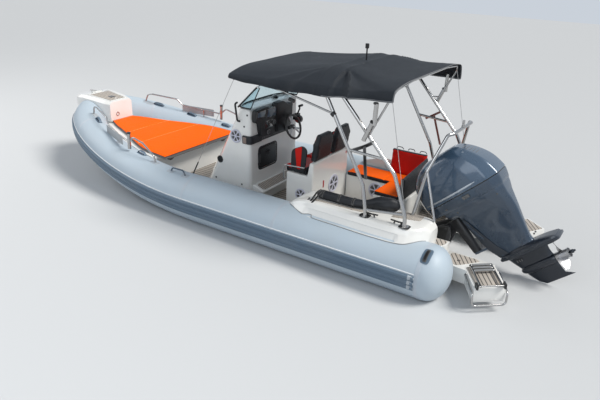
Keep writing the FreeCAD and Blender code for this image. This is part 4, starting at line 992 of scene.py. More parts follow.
    def build_fittings(self, side: Side, name: str) -> None:
        """Grip straps on their patches, and valves."""
        bm = bmesh.new()
        for x in self.strap_xs:
            self.patch(bm, x, self.strap_deg, 0.17, 0.080, side)
        x, angle = self.stern_strap
        self.patch(bm, x, angle, 0.10, 0.19, side, 0.004)
        for x in self.valve_xs:
            self.patch(bm, x, self.valve_deg, 0.12, 0.12, side)
        for x in self.strap_xs:
            route = [self.over(x + 0.080 * t, self.strap_deg, 0.004 + 0.034 * (1 - t ** 4), side)
                     for t in frange(-1, 1, 15)]
            bar(bm, route, 0.019, 12, flatten=0.32, side_hint=Vector((0, 1, 0)))
        finished("tube_patches_" + name, bm, [STRAKE_RUBBER], angle=50)
        bm = bmesh.new()
        x, angle = self.stern_strap
        route = [self.over(x, angle + 14 * t, 0.006 + 0.012 * (1 - t ** 4), side) for t in frange(-1, 1, 11)]
        bar(bm, route, 0.020, 12, flatten=0.22, side_hint=Vector((1, 0, 0)))
        finished("tube_straps_" + name, bm, [WEBBING], angle=50)
        bm = bmesh.new()
        valve = ((0.026, 0), (0.026, 0.006), (0.022, 0.009), (0.012, 0.010), (0.0, 0.010))
        for x in self.valve_xs:
            centre = self.over(x, self.valve_deg, 0, side)
            disc(bm, centre, centre - self.over(x, self.valve_deg, -self.station(x=x)[2], side), valve, 24)
        finished("tube_valves_" + name, bm, [BLACK_PLASTIC], angle=40)


@dataclass
class HullAndDeck:
    """Rigid hull, floor, transom, forward locker and sunpad."""

    rounding: float = 0.012
    pad_seam_shares: tuple[float, float] = (0.39, 0.655)
    pad_thick: float = 0.048
    pad_half: Outline = ((0, 0.790), (0.269, 0.745), (0.45, 0.628), (0.673, 0.445), (0.887, 0.298),
                         (1, 0.198))
    locker_ys: tuple[float, float] = (-0.31, 0.31)

    def build(self) -> None:
        """Builds the pieces."""
        rounded_node("hull", GELCOAT, 0.006, segments=2)
        repaint("cockpit_sole", teak("Floor teak", (0, 1, 0), 0.062, "gelcoat"))
        rounded_node("transom", GELCOAT, self.rounding)
        rounded_node("foredeck", GELCOAT, 0.018)
        rounded_node("sunpad_support", BROWN_BOARD, 0.003, segments=2)
        self.build_pad()
        self.build_locker_face()
        LOG.info("hull, floor, transom and foredeck")

    def build_locker_face(self) -> None:
        """Two lockers' doors and their latches on the foredeck's aft face."""
        low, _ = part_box("foredeck")
        x = low[0] + 0.083
        bm = bmesh.new()
        for y in self.locker_ys:
            box_mesh((x - 0.006, y - 0.22, 0.20), (x + 0.02, y + 0.22, 0.47), bm)
        finished("foredeck_locker_doors", bm, [GELCOAT], bevel=0.008, segments=3)
        bm = bmesh.new()
        for y in self.locker_ys:
            disc(bm, (x - 0.004, y, 0.43), (-1, 0, 0),
                 ((0.024, 0), (0.024, 0.006), (0.019, 0.009), (0.0, 0.009)))
        finished("foredeck_latches", bm, [BLACK_PLASTIC])

    def pad_row(self, share: float) -> tuple[float, float, float]:
        """x, half width and top height of the pad at a share of its length."""
        (x0, _, _), (x1, _, z1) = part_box("sunpad")
        half = spline(self.pad_half, share)[0]
        return lerp(x0, x1, share), half, lerp(z1 - 0.090, z1, share)

    def build_pad(self) -> None:
        """One long cushion in three sewn parts, orange over dark sides."""
        near = (-0.006, -0.003, -0.0012, 0, 0.0012, 0.003, 0.006)
        rows = sorted(frange(0, 1, 110) + [s + d for s in self.pad_seam_shares for d in near])
        columns = frange(-1, 1, 61)
        top, low = [], []
        for share in rows:
            x, half, z = self.pad_row(share)
            end = min(share, 1 - share) * 1.78
            seam = min(abs(share - s) for s in self.pad_seam_shares) * 1.78
            line_t, line_l = [], []
            for u in columns:
                y = u * half
                edge = min(half - abs(y), end)
                drop = 0.013 * math.exp(-edge / 0.016) + 0.0075 * math.exp(-(seam / 0.0045) ** 2)
                drop += 0.005 * math.exp(-seam / 0.05)
                p = Vector((x, y, z))
                pucker = 0.0022 * math.exp(-seam / 0.045) * math.sin(y * 95 + 3 * wrinkle(p, 4))
                ripple = 0.0022 * wrinkle(p, 2.4, 3) + 0.0011 * wrinkle(p, 8, 5)
                line_t.append(Vector((x, y, z - 0.001 - drop + pucker + ripple)))
                line_l.append(Vector((x, y, z - self.pad_thick)))
            top.append(line_t)
            low.append(line_l)
        bm = bmesh.new()
        grid_t = [[bm.verts.new(p) for p in line] for line in top]
        grid_l = [[bm.verts.new(p) for p in line] for line in low]
        for i in range(len(rows) - 1):
            for j in range(len(columns) - 1):
                bm.faces.new((grid_t[i][j], grid_t[i + 1][j], grid_t[i + 1][j + 1], grid_t[i][j + 1]))
                bm.faces.new((grid_l[i][j], grid_l[i][j + 1], grid_l[i + 1][j + 1], grid_l[i + 1][j]))
            for j in (0, -1):
                face = bm.faces.new((grid_t[i][j], grid_t[i + 1][j], grid_l[i + 1][j], grid_l[i][j]))
                face.material_index = 1
        for i in (0, -1):
            for j in range(len(columns) - 1):
                face = bm.faces.new((grid_t[i][j], grid_t[i][j + 1], grid_l[i][j + 1], grid_l[i][j]))
                face.material_index = 1
        pad = finished("sunpad_cushion", bm, [ORANGE_VINYL, BROWN_BOARD], angle=50)
        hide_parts("sunpad")
        bm = bmesh.new()
        outline = [(self.pad_row(s), 1) for s in frange(0, 1, 60)]
        outline += [(self.pad_row(s), -1) for s in frange(1, 0, 60)]
        route = [Vector((x, side * (half + 0.001), z - 0.016)) for (x, half, z), side in outline]
        bar(bm, route + [route[0]], 0.0042, 8)
        finished("sunpad_piping", bm, [DARK_VINYL], angle=60)
        bm = bmesh.new()
        for share in self.pad_seam_shares:
            for step in (-0.0012, 0.0012):
                x, half, z = self.pad_row(share + step)
                bar(bm, [(x, y, z - 0.0105) for y in frange(-half * 0.985, half * 0.985, 40)], 0.0032, 8)
        finished("sunpad_welts", bm, [ORANGE_WELT], angle=60)


@dataclass
class BowStep:
    """White moulding over the bow with a planked lid, a cleat and a hook."""

    rounding: float = 0.028
    margin: float = 0.022
    lid_start: float = 2.738
    lid_length: float = 0.524

    def build(self) -> None:
        """Builds the pieces."""
        rounded_node("bow_step", GELCOAT, self.rounding, segments=4)
        self.build_lid()
        self.build_fittings()
        LOG.info("bow step and lid")

    def lid_top(self, x: float) -> float:
        """Height of the lid's top along the boat."""
        return lerp(1.0186, 1.0623, (x - self.lid_start) / self.lid_length) + 0.0004

    def lid_half(self, x: float) -> float:
        """Half width of the lid's planked panel."""
        return lerp(0.166, 0.214, (x - self.lid_start) / self.lid_length) - self.margin

    def build_lid(self) -> None:
        """The lid's white rim and hinge, and its planked panel."""
        rounded_node("locker_lid", GELCOAT, 0.004, Body.LID, segments=2)
        (x0, _, _), (x1, _, _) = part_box("locker_lid")
        x1 -= 0.070
        x0 += self.margin
        bm = bmesh.new()
        rings = []
        for lift in (0.0, 0.004):
            rings.append([Vector((x, y * self.lid_half(x), self.lid_top(x) + lift))
                          for x, y in ((x0, -1), (x1, -1), (x1, 1), (x0, 1))])
        skin(bm, rings)
        finished("lid_planks", bm, [teak("Bow teak", (0, 1, 0), 0.048)], Body.LID, bevel=0.002)
        bm = bmesh.new()
        z = self.lid_top(x0 + 0.1)
        box_mesh((x0 + 0.10, -0.045, z + 0.004), (x0 + 0.19, 0.045, z + 0.018), bm)
        finished("lid_latch", bm, [GLOSS_BLACK], Body.LID, bevel=0.008, segments=3)

    def build_fittings(self) -> None:
        """Mooring cleat and a hook on the moulding's aft face."""
        (x0, _, _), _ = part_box("bow_step")
        bm = bmesh.new()
        z = 1.045
        for x in (3.345, 3.405):
            bar(bm, [(x, 0, z - 0.012), (x, 0, z + 0.030)], 0.009, 12)
        bar(bm, [(3.30, 0, z + 0.032), (3.345, 0, z + 0.036), (3.405, 0, z + 0.034), (3.445, 0, z + 0.026)],
            0.010, 12)
        ring = [Vector((x0 - 0.006, 0.085 + 0.028 * math.cos(a), 0.80 + 0.028 * math.sin(a)))
                for a in frange(0, 2 * math.pi, 25)]
        bar(bm, ring, 0.005, 8)
        bar(bm, [(x0 + 0.03, 0.085, 0.83), (x0 - 0.008, 0.085, 0.83)], 0.008, 10)
        finished("bow_cleat", bm, [STAINLESS])


# Geometry Nodes for what repeats


class Repeat:
    """Node trees that copy one small shape round an axis or along a route."""

    @staticmethod
    def tree(name: str, inputs: Sequence[tuple[str, str]]) -> tuple[NodeTree, dict[str, str]]:
        """An empty tree with its named inputs.

        Args:
            name: the tree's name.
            inputs: name and socket type of each input.

        Returns:
            The tree, and the identifier of each input by name.
        """
        group = bpy.data.node_groups.new(name, "GeometryNodeTree")
        ids = {}
        for title, kind in inputs:
            ids[title] = group.interface.new_socket(title, in_out="INPUT", socket_type=kind).identifier
        group.interface.new_socket("Geometry", in_out="OUTPUT", socket_type="NodeSocketGeometry")
        return group, ids

    @staticmethod
    def send_out(n: Nodes, start: Node, copies: Node) -> None:
        """Makes the copies real, paints them and joins them to the tree's output."""
        real = n.add("GeometryNodeRealizeInstances", Geometry=copies.outputs[0])
        paint = n.add("GeometryNodeSetMaterial", Geometry=real.outputs[0], Material=start.outputs["Material"])
        end = n.add("NodeGroupOutput")
        n.tree.links.new(paint.outputs[0], end.inputs[0])

    @classmethod
    def around(cls) -> tuple[NodeTree, dict[str, str]]:
        """Tree that repeats the object's mesh round its Z axis."""
        group, ids = cls.tree("Repeat round an axis", (
            ("Geometry", "NodeSocketGeometry"), ("Count", "NodeSocketInt"),
            ("Material", "NodeSocketMaterial")))
        n = Nodes(group)
        start = n.add("NodeGroupInput")
        points = n.add("GeometryNodePoints", Count=start.outputs["Count"])
        index = n.add("GeometryNodeInputIndex")
        step = n.math("DIVIDE", 2 * math.pi, start.outputs["Count"])
        angle = n.math("MULTIPLY", index.outputs[0], step)
        turn = n.add("ShaderNodeCombineXYZ", Z=angle)
        copies = n.add("GeometryNodeInstanceOnPoints", Points=points.outputs[0],
                       Instance=start.outputs["Geometry"])
        group.links.new(turn.outputs[0], copies.inputs["Rotation"])
        cls.send_out(n, start, copies)
        return group, ids

    @classmethod
    def along(cls) -> tuple[NodeTree, dict[str, str]]:
        """Tree that repeats another object along the route that the object's edges make."""
        group, ids = cls.tree("Repeat along a route", (
            ("Geometry", "NodeSocketGeometry"), ("Spacing", "NodeSocketFloat"), ("Shape", "NodeSocketObject"),
            ("Material", "NodeSocketMaterial")))
        n = Nodes(group)
        start = n.add("NodeGroupInput")
        curve = n.add("GeometryNodeMeshToCurve", Mesh=start.outputs["Geometry"])
        spaced = n.add("GeometryNodeResampleCurve", at_mode="LENGTH", Curve=curve.outputs[0],
                       Length=start.outputs["Spacing"])
        shape = n.add("GeometryNodeObjectInfo", Object=start.outputs["Shape"])
        tangent = n.add("GeometryNodeInputTangent")
        turn = n.add("FunctionNodeAlignRotationToVector", at_axis="X", Vector=tangent.outputs[0])
        copies = n.add("GeometryNodeInstanceOnPoints", Points=spaced.outputs[0],
                       Instance=shape.outputs["Geometry"], Rotation=turn.outputs[0])
        cls.send_out(n, start, copies)
        return group, ids

    @staticmethod
    def evaluate(piece: Object, tree: NodeTree, values: dict[str, object]) -> BMesh:
        """Runs a tree on a piece.

        Args:
            piece: the object that carries the input mesh; it is removed.
            tree: the node tree.
            values: the value of each input by its socket's identifier.

        Returns:
            The plain result.
        """
        modifier = piece.modifiers.new("Repeat", "NODES")
        modifier.node_group = tree
        for key, value in values.items():
            modifier[key] = value
        apply_modifiers(piece)
        bm = bmesh.new()
        bm.from_mesh(piece.data)
        bpy.data.objects.remove(piece)
        return bm


def loose_object(name: str, bm: BMesh) -> Object:
    """A bare object for a node tree to work on."""
    mesh = bpy.data.meshes.new(name)
    bm.to_mesh(mesh)
    bm.free()
    piece = bpy.data.objects.new(name, mesh)
    bpy.context.collection.objects.link(piece)
    return piece


def repeated_round(name: str, shape: BMesh, count: int, place: Matrix, finish: Finish) -> Object:
    """A shape repeated round an axis as one piece.

    Args:
        name: the piece's name.
        shape: the shape, drawn about the Z axis.
        count: how many.
        place: from the shape's space to the boat's.
        finish: its finish.

    Returns:
        The piece.
    """
    tree, ids = Repeat.around()
    bm = Repeat.evaluate(loose_object(name + "_one", shape), tree, {
        ids["Count"]: count, ids["Material"]: finish.material()})
    bm.transform(place)
    return finished(name, bm, [finish])


def repeated_along(name: str, shape: BMesh, routes: Sequence[Sequence[Point]], spacing: float,
                   finish: Finish) -> Object:
    """A shape repeated along routes as one piece.

    Args:
        name: the piece's name.
        shape: the shape, with the route along its X axis.
        routes: the points of each route.
        spacing: distance between copies.
        finish: its finish.

    Returns:
        The piece.
    """
    one = loose_object(name + "_one", shape)
    lines = bmesh.new()
    for route in routes:
        row = [lines.verts.new(p) for p in route]
        for a, b in zip(row, row[1:]):
            lines.edges.new((a, b))
    tree, ids = Repeat.along()
    bm = Repeat.evaluate(loose_object(name + "_route", lines), tree, {
        ids["Spacing"]: spacing, ids["Shape"]: one, ids["Material"]: finish.material()})
    bpy.data.objects.remove(one)
    return finished(name, bm, [finish])


def facing(centre: Point, way: Point) -> Matrix:
    """The transform that sets the Z axis along a direction at a point."""
    axis = Vector(way).normalized()
    side, up = plane_axes(axis)
    return Matrix.Translation(Vector(centre)) @ Matrix((side, up, axis)).transposed().to_4x4()


def plate(bm: BMesh, outline: Outline, place: Callable[[float, float, float], Point],
          low: float, high: float, soften: float = 0.002) -> None:
    """A flat plate with softened front edges.

    Args:
        bm: the mesh that grows.
        outline: its outline in its own plane.
        place: from the plane's two numbers and a depth to the boat.
        low: depth of its back.
        high: depth of its front.
        soften: size of the softened edge.
    """
    middle = [sum(p[k] for p in outline) / len(outline) for k in (0, 1)]
    size = max(max(abs(p[0] - middle[0]), abs(p[1] - middle[1])) for p in outline)
    rings = []
    for depth, inset in ((low, 0.0), (high - soften, 0.0), (high - 0.3 * soften, 0.3 * soften),
                         (high, soften)):
        scale = 1 - inset / size
        rings.append([Vector(place(middle[0] + (a - middle[0]) * scale, middle[1] + (b - middle[1]) * scale,
                                   depth)) for a, b in outline])
    skin(bm, rings)


def puffed(node: str, name: str, finishes: Sequence[Finish], voxel: float = 0.009,
           swell: float = 0.012, shrink: float = 0.006,
           split: Callable[[Vector, Vector], int] | None = None,
           shape: Callable[[Vector], Vector] | None = None) -> Object:
    """A cushion in place of its CAD solid: remeshed, blown up by cloth simulation and dressed.

    Args:
        node: the CAD solid.
        name: the piece's name.
        finishes: its finishes.
        voxel: size of the remesh.
        swell: the most that a point may move.
        shrink: how much smaller it starts.
        split: material index from a point and its normal.
        shape: moves each point at the end, for seams and channels.

    Returns:
        The cushion.
    """
    piece = loose_object(name, node_mesh(node, flat=0))
    rough = piece.modifiers.new("Remesh", "REMESH")
    rough.mode = "VOXEL"
    rough.voxel_size = voxel
    soft = piece.modifiers.new("Soften", "SMOOTH")
    soft.factor = 0.5
    soft.iterations = 6
    if shrink:
        less = piece.modifiers.new("Less", "DISPLACE")
        less.strength = -shrink
        less.mid_level = 0
    apply_modifiers(piece)
    rest = moved = [v.co.copy() for v in piece.data.vertices]
    cloth = piece.modifiers.new("Cloth", "CLOTH")
    cloth.settings.use_pressure = True
    cloth.settings.uniform_pressure_force = 4.0
    cloth.settings.quality = 4
    cloth.settings.tension_stiffness = 22
    cloth.settings.compression_stiffness = 18
    cloth.settings.bending_stiffness = 3
    cloth.settings.effector_weights.gravity = 0.0
    cloth.point_cache.frame_start = 1
    cloth.point_cache.frame_end = CLOTH_FRAMES
    for frame in range(1, CLOTH_FRAMES + 1):
        bpy.context.scene.frame_set(frame)
    graph = bpy.context.evaluated_depsgraph_get()
    moved = [v.co.copy() for v in piece.evaluated_get(graph).data.vertices]
    piece.modifiers.clear()
    bpy.context.scene.frame_set(1)
    low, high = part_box(node)
    normals = [v.normal.copy() for v in piece.data.vertices]
    for vertex, start, end, normal in zip(piece.data.vertices, rest, moved, normals):
        step = end - start
        if step.length > swell:
            step = step.normalized() * swell
        p = start + step + normal * (0.0012 * wrinkle(start, 9, 2))
        p = Vector(min(max(p[k], low[k] + 0.0004), high[k] - 0.0004) for k in range(3))
        vertex.co = shape(p) if shape else p
    piece.data.update()
    if len(piece.data.polygons) < FINE_ENOUGH:
        piece.modifiers.new("Subdivision", "SUBSURF")
        apply_modifiers(piece)
    for finish in finishes:
        piece.data.materials.append(finish.material())
    if split:
        for face in piece.data.polygons:
            face.material_index = split(face.center, face.normal)
    piece.data.shade_smooth()
    dress(piece)
    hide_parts(node)
    return piece


# Console and helm


@dataclass
class Console:
    """Helm console: shell, hatch, dash with its screens, windscreen and small fittings."""

    floor_z: float = 0.160
    top_z: float = 1.480
    half: float = 0.550
    aft: float = -0.450
    corner: float = 0.055
    wall: float = 0.014
    hatch_y: float = 0.165
    hatch_z: float = 0.770
    hatch_w: float = 0.400
    hatch_h: float = 0.300
    shoulder_z: float = 1.42
    pod: Outline = ((0.545, 1.462), (0.545, 1.372), (0.520, 1.305), (0.430, 1.285), (0.375, 1.085),
                    (0.150, 1.065), (-0.300, 1.065), (-0.320, 1.200), (-0.300, 1.440), (0.270, 1.470),
                    (0.290, 1.492), (0.500, 1.482))
    hood: Outline = ((0.125, 1.470), (0.100, 1.505), (-0.040, 1.512), (-0.160, 1.440), (-0.275, 1.395),
                     (-0.290, 1.180), (-0.240, 1.075), (0.060, 1.075), (0.080, 1.280))
    screens: tuple[tuple[float, ...], ...] = ((0.345, 0.530, 1.368, 1.462), (0.095, 0.315, 1.332, 1.464))
    switch_panel: Outline = ((-0.420, 1.020), (0.370, 1.020), (0.385, 1.080), (-0.420, 1.080))
    gauge: Outline = ((0.034, 0), (0.034, 0.016), (0.028, 0.019), (0.026, 0.014), (0.0, 0.014))

    def ring(self, z: float, inset: float = 0.0) -> Ring:
        """A level section with rounded corners."""
        t = (z - self.floor_z) / (self.top_z - self.floor_z)
        front = 0.560 - 0.720 * t
        shoulder = front - 0.190 + 0.060 * t
        nose = 0.330 - 0.020 * t
        bulge = 0.006 * math.sin(math.pi * min(1.0, max(0.0, t)))
        aft, half, front = self.aft + inset, self.half - 0.004 - inset + bulge * 0.6, front - inset - 0.002
        corners = [(aft, -half), (aft, half), (shoulder, half), (front, nose), (front, -nose),
                   (shoulder, -half)]
        return [Vector((x, y, z)) for x, y in rounded_outline(corners, self.corner, 6)]

    def build(self) -> None:
        """Builds the console and what is on it."""
        self.build_shell()
        self.build_hatch()
        self.build_dash()
        self.build_windscreen()
        self.build_details()
        LOG.info("console")

    def build_shell(self) -> None:
        """The white shell, hollow, with the hatch opening cut in it."""
        levels = [self.floor_z + 0.001, 0.20] + frange(0.26, self.shoulder_z, 13)
        rings = [self.ring(z) for z in levels]
        for angle in (20, 45, 70, 90):
            rise, inset = math.sin(math.radians(angle)), 1 - math.cos(math.radians(angle))
            z = self.shoulder_z + (self.top_z - self.shoulder_z - 0.001) * rise
            rings.append([Vector((p.x, p.y, z)) for p in self.ring(self.shoulder_z, 0.045 * inset)])
        inner = [[Vector((p.x, p.y, z)) for p in self.ring(z, self.wall)]
                 for z in (self.floor_z + 0.001, 0.80, 1.40)]
        bm = bmesh.new()
        skin(bm, rings, caps=False)
        top = [bm.verts.new(p) for p in rings[-1]]
        bm.faces.new(top)
        skin(bm, inner[::-1], caps=False)
        bm.faces.new([bm.verts.new(p) for p in inner[-1]][::-1])
        bmesh.ops.remove_doubles(bm, verts=bm.verts, dist=1e-5)
        rims = [[v for v in bm.verts if (v.co - p).length < 1e-5][0] for p in rings[0]]
        inside = [[v for v in bm.verts if (v.co - p).length < 1e-5][0] for p in inner[0]]
        for i in range(len(rims)):
            j = (i + 1) % len(rims)
            bm.faces.new((rims[i], inside[i], inside[j], rims[j]))
        shell = loose_object("console_shell", bm)
        bm = bmesh.new()
        outline = self.hatch_outline(0.0, 0.05)
        skin(bm, [[Vector((x, y, z)) for y, z in outline] for x in (-0.6, -0.38)])
        cutter = loose_object("hatch_cutter", bm)
        cut = shell.modifiers.new("Opening", "BOOLEAN")
        cut.object = cutter
        cut.solver = "EXACT"
        apply_modifiers(shell)
        bpy.data.objects.remove(cutter)
        bm = bmesh.new()
        bm.from_mesh(shell.data)
        bpy.data.objects.remove(shell)
        shell = finished("console_shell", bm, [GELCOAT], angle=40)
        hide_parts("console")
        bm = bmesh.new()
        for low in (-0.090, 0.060):
            box_mesh((-0.470, 0.369, self.hatch_z + low), (-0.449, 0.385, self.hatch_z + low + 0.030), bm)
        finished("hatch_lugs", bm, [BLACK_PLASTIC], bevel=0.002)

    def hatch_outline(self, grow: float, radius: float) -> list[tuple[float, float]]:
        """The hatch opening's rounded outline in y and z, grown by a distance."""
        wide, high = self.hatch_w / 2 + grow, self.hatch_h / 2 + grow
        return rounded_box(self.hatch_y - wide, self.hatch_z - high, self.hatch_y + wide,
                           self.hatch_z + high, radius)

    def on_aft(self, y: float, z: float, depth: float) -> Point:
        """A point over the console's aft face."""
        return (self.aft - depth, y, z)

    def build_hatch(self) -> None:
        """Dark hatch door with its recessed latch, hinge and the frame round it."""
        bm = bmesh.new()
        plate(bm, self.hatch_outline(-0.008, 0.045), self.on_aft, -0.012, 0.005, 0.003)
        plate(bm, self.hatch_outline(-0.030, 0.023), self.on_aft, 0.004, 0.0062, 0.001)
        disc(bm, self.on_aft(self.hatch_y + 0.005, self.hatch_z + 0.055, 0.004), (-1, 0, 0),
             ((0.048, 0.0), (0.048, 0.005), (0.041, 0.0055), (0.038, 0.0028), (0.0, 0.0028)))
        y, z = self.hatch_y, self.hatch_z
        box_mesh((-0.472, y - 0.030, z + 0.047), (-0.455, y + 0.038, z + 0.062), bm)
        disc(bm, (-0.462, 0.377, self.hatch_z - 0.059), (0, 0, 1), ((0.007, 0), (0.007, 0.118)), 16)
        disc(bm, (-0.462, 0.377, self.hatch_z - 0.090), (0, 0, 1), ((0.004, 0), (0.004, 0.180)), 12)
        box_mesh((-0.465, 0.340, self.hatch_z - 0.058), (-0.455, 0.377, self.hatch_z + 0.058), bm)
        door_piece = finished("hatch_door", bm, [BLACK_PLASTIC], Body.HATCH, bevel=0.001)
        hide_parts("console_hatch")
        bm = bmesh.new()
        outer, inner = self.hatch_outline(0.018, 0.071), self.hatch_outline(0.001, 0.054)
        rows = []
        for outline, depth in ((outer, -0.001), (outer, 0.003), (inner, 0.0035), (inner, -0.004)):
            rows.append([Vector(self.on_aft(y, z, depth)) for y, z in outline])
        skin(bm, rows + [rows[0]], caps=False)
        finished("hatch_frame", bm, [BLACK_PLASTIC], angle=30)

    def on_dash(self, y: float, z: float, depth: float) -> Point:
        """A point over the dash pod's leaning face."""
        return (-0.510 - 0.035 * (z - 1.10) / 0.32 - depth, y, z)

    def build_dash(self) -> None:
        """Instrument pod with its hood, two displays, switch panel, gauges and compass."""
        bm = bmesh.new()
        plate(bm, rounded_outline(self.pod, 0.035), self.on_dash, -0.070, -0.004, 0.014)
        plate(bm, rounded_outline(self.hood, 0.045), self.on_dash, -0.070, 0.016, 0.016)
        dash = finished("dash_pod", bm, [BLACK_PLASTIC], angle=35)
        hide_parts("dash")
        bm = bmesh.new()
        for y0, y1, z0, z1 in self.screens:
            plate(bm, rounded_box(y0, z0, y1, z1, 0.012), self.on_dash, -0.010, 0.004, 0.004)
        plate(bm, rounded_box(0.150, 1.190, 0.330, 1.300, 0.015), self.on_dash, -0.010, 0.001, 0.002)
        finished("dash_bezels", bm, [GLOSS_BLACK], angle=30)
        bm = bmesh.new()
        for y0, y1, z0, z1 in self.screens:
            plate(bm, rounded_box(y0 + 0.016, z0 + 0.014, y1 - 0.016, z1 - 0.014, 0.005), self.on_dash,
                  0.002, 0.0052, 0.0006)
        finished("dash_displays", bm, [DISPLAY], angle=30)
        bm = bmesh.new()
        plate(bm, rounded_outline(self.switch_panel, 0.02), self.on_aft, -0.002, 0.010, 0.003)
        finished("switch_panel", bm, [BLACK_PLASTIC], angle=35)
        bm = bmesh.new()
        for k in range(6):
            y = 0.335 - 0.040 * k
            plate(bm, rounded_box(y - 0.013, 1.034, y + 0.013, 1.066, 0.004), self.on_aft, 0.008, 0.015,
                  0.003)
        for y, z in ((0.120, 1.245), (0.230, 1.130)):
            disc(bm, self.on_dash(y, z, -0.012), (-1, 0, -0.1), self.gauge)
        finished("dash_switches", bm, [SWITCH_GREY], angle=35)
        bm = bmesh.new()
        disc(bm, (-0.300, -0.20, self.top_z - 0.012), (0, 0, 1),
             ((0.052, 0), (0.052, 0.014), (0.046, 0.020), (0.042, 0.036), (0.030, 0.052), (0.0, 0.058)))
        finished("compass", bm, [GLOSS_BLACK], angle=40)

    def windscreen_path(self, share: float) -> list[tuple[float, float]]:
        """The windscreen's line at a share of its height."""
        spans = ((-0.440, -0.592), (-0.238, -0.545), (-0.172, -0.465))
        end, side, front = (lerp(low, high, share) for low, high in spans)
        corners = [(end, 0.531), (side, 0.531), (front, 0.318), (front + 0.004, 0.0), (front, -0.318),
                   (side, -0.531), (end, -0.531)]
        flat = rounded_route([(x, y, 0) for x, y in corners], 0.10 * (1 - 0.6 * share), 8)
        return [(p.x, p.y) for p in flat]

    def build_windscreen(self) -> None:
        """Curved acrylic sheet with a dark base trim, a steel top rail, and a pillar and screws."""
        (_, _, z0), (_, _, z1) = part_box("windscreen")
        bm = bmesh.new()
        levels = frange(z0 + 0.001, z1 - 0.008, 8)
        rings = [[Vector((x, y, z)) for x, y in self.windscreen_path((z - z0) / (z1 - z0))] for z in levels]
        skin(bm, rings, closed=False, caps=False)
        screen = finished("windscreen_sheet", bm, [ACRYLIC], angle=60, solid=0.006)
        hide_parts("windscreen")
        bm = bmesh.new()
        bar(bm, [Vector((x, y, z0 + 0.006)) for x, y in self.windscreen_path(0.01)], 0.011, 8)
        x = -0.443
        for y in (0.531, -0.531):
            bar(bm, [(x, y, z0 + 0.004), (x - 0.147, y, z1 - 0.010)], 0.007, 8)
            bar(bm, [(x + 0.203, y, z0 + 0.004), (x - 0.100, y, z1 - 0.010)], 0.012, 8)
        finished("windscreen_trim", bm, [BLACK_PLASTIC], angle=60)
        bm = bmesh.new()
        bar(bm, [Vector((x, y, z1 - 0.010)) for x, y in self.windscreen_path(0.985)], 0.0085, 10)
        finished("windscreen_rail", bm, [STAINLESS], angle=60)
        screw = bmesh.new()
        disc(screw, (0, 0, 0), (0, 0, 1), ((0.006, 0.0), (0.006, 0.002), (0.003, 0.004), (0.0, 0.004)), 8)
        line = [Vector((x + 0.022, y * 0.965, z0 + 0.002)) for x, y in self.windscreen_path(0.0)]
        repeated_along("windscreen_screws", screw, [line], 0.14, STAINLESS)

    def build_details(self) -> None:
        """Side handles, portholes, corner pocket and trim."""
        bm = bmesh.new()
        for side in Side:
            s = side.value
            handle = [(-0.235, s * 0.545, 1.545), (-0.235, s * 0.590, 1.535), (-0.272, s * 0.592, 1.315),
                      (-0.275, s * 0.545, 1.300)]
            bar(bm, handle, 0.013, 12, bend=0.03)
            disc(bm, (0.075, s * 0.546, 0.705), (0, s, 0),
                 ((0.050, 0), (0.050, 0.008), (0.043, 0.011), (0.038, 0.006), (0.0, 0.006)))
        for x, z in ((-0.350, 1.24), (-0.400, 1.40), (0.16, 0.42), (-0.30, 0.42)):
            disc(bm, (x, 0.546, z), (0, 1, 0), ((0.012, 0), (0.012, 0.006), (0.006, 0.009), (0.0, 0.009)), 16)
        finished("console_fittings", bm, [BLACK_PLASTIC], angle=40)
        bm = bmesh.new()
        corner = rounded_route([(-0.335, 0.552, 0), (-0.452, 0.552, 0), (-0.452, 0.325, 0)], 0.05, 8)
        rings = []
        for grow, z in ((0.0, 1.010), (0.016, 1.018), (0.020, 1.05), (0.020, 1.112), (0.014, 1.120),
                        (0.0, 1.120)):
            last = len(corner) - 3
            rings.append([Vector((p.x - (grow if k >= 3 else 0), p.y + (grow if k < last else 0), z))
                          for k, p in enumerate(corner)])
        skin(bm, rings, closed=False, caps=False)
        finished("console_pocket", bm, [DARK_VINYL], angle=50, solid=0.006)
        bm = bmesh.new()
        box_mesh((-0.402, 0.560, 1.022), (-0.345, 0.578, 1.108), bm)
        finished("console_pocket_panel", bm, [BROWN_LEATHER], bevel=0.006)
        bm = bmesh.new()
        rows = [[Vector((p.x + 0.004 * math.copysign(1, p.x), p.y * 1.006, z)) for p in self.ring(0.20)]
                for z in (self.floor_z + 0.002, self.floor_z + 0.012)]
        skin(bm, rows)
        finished("console_base_bead", bm, [SEALANT], angle=40)


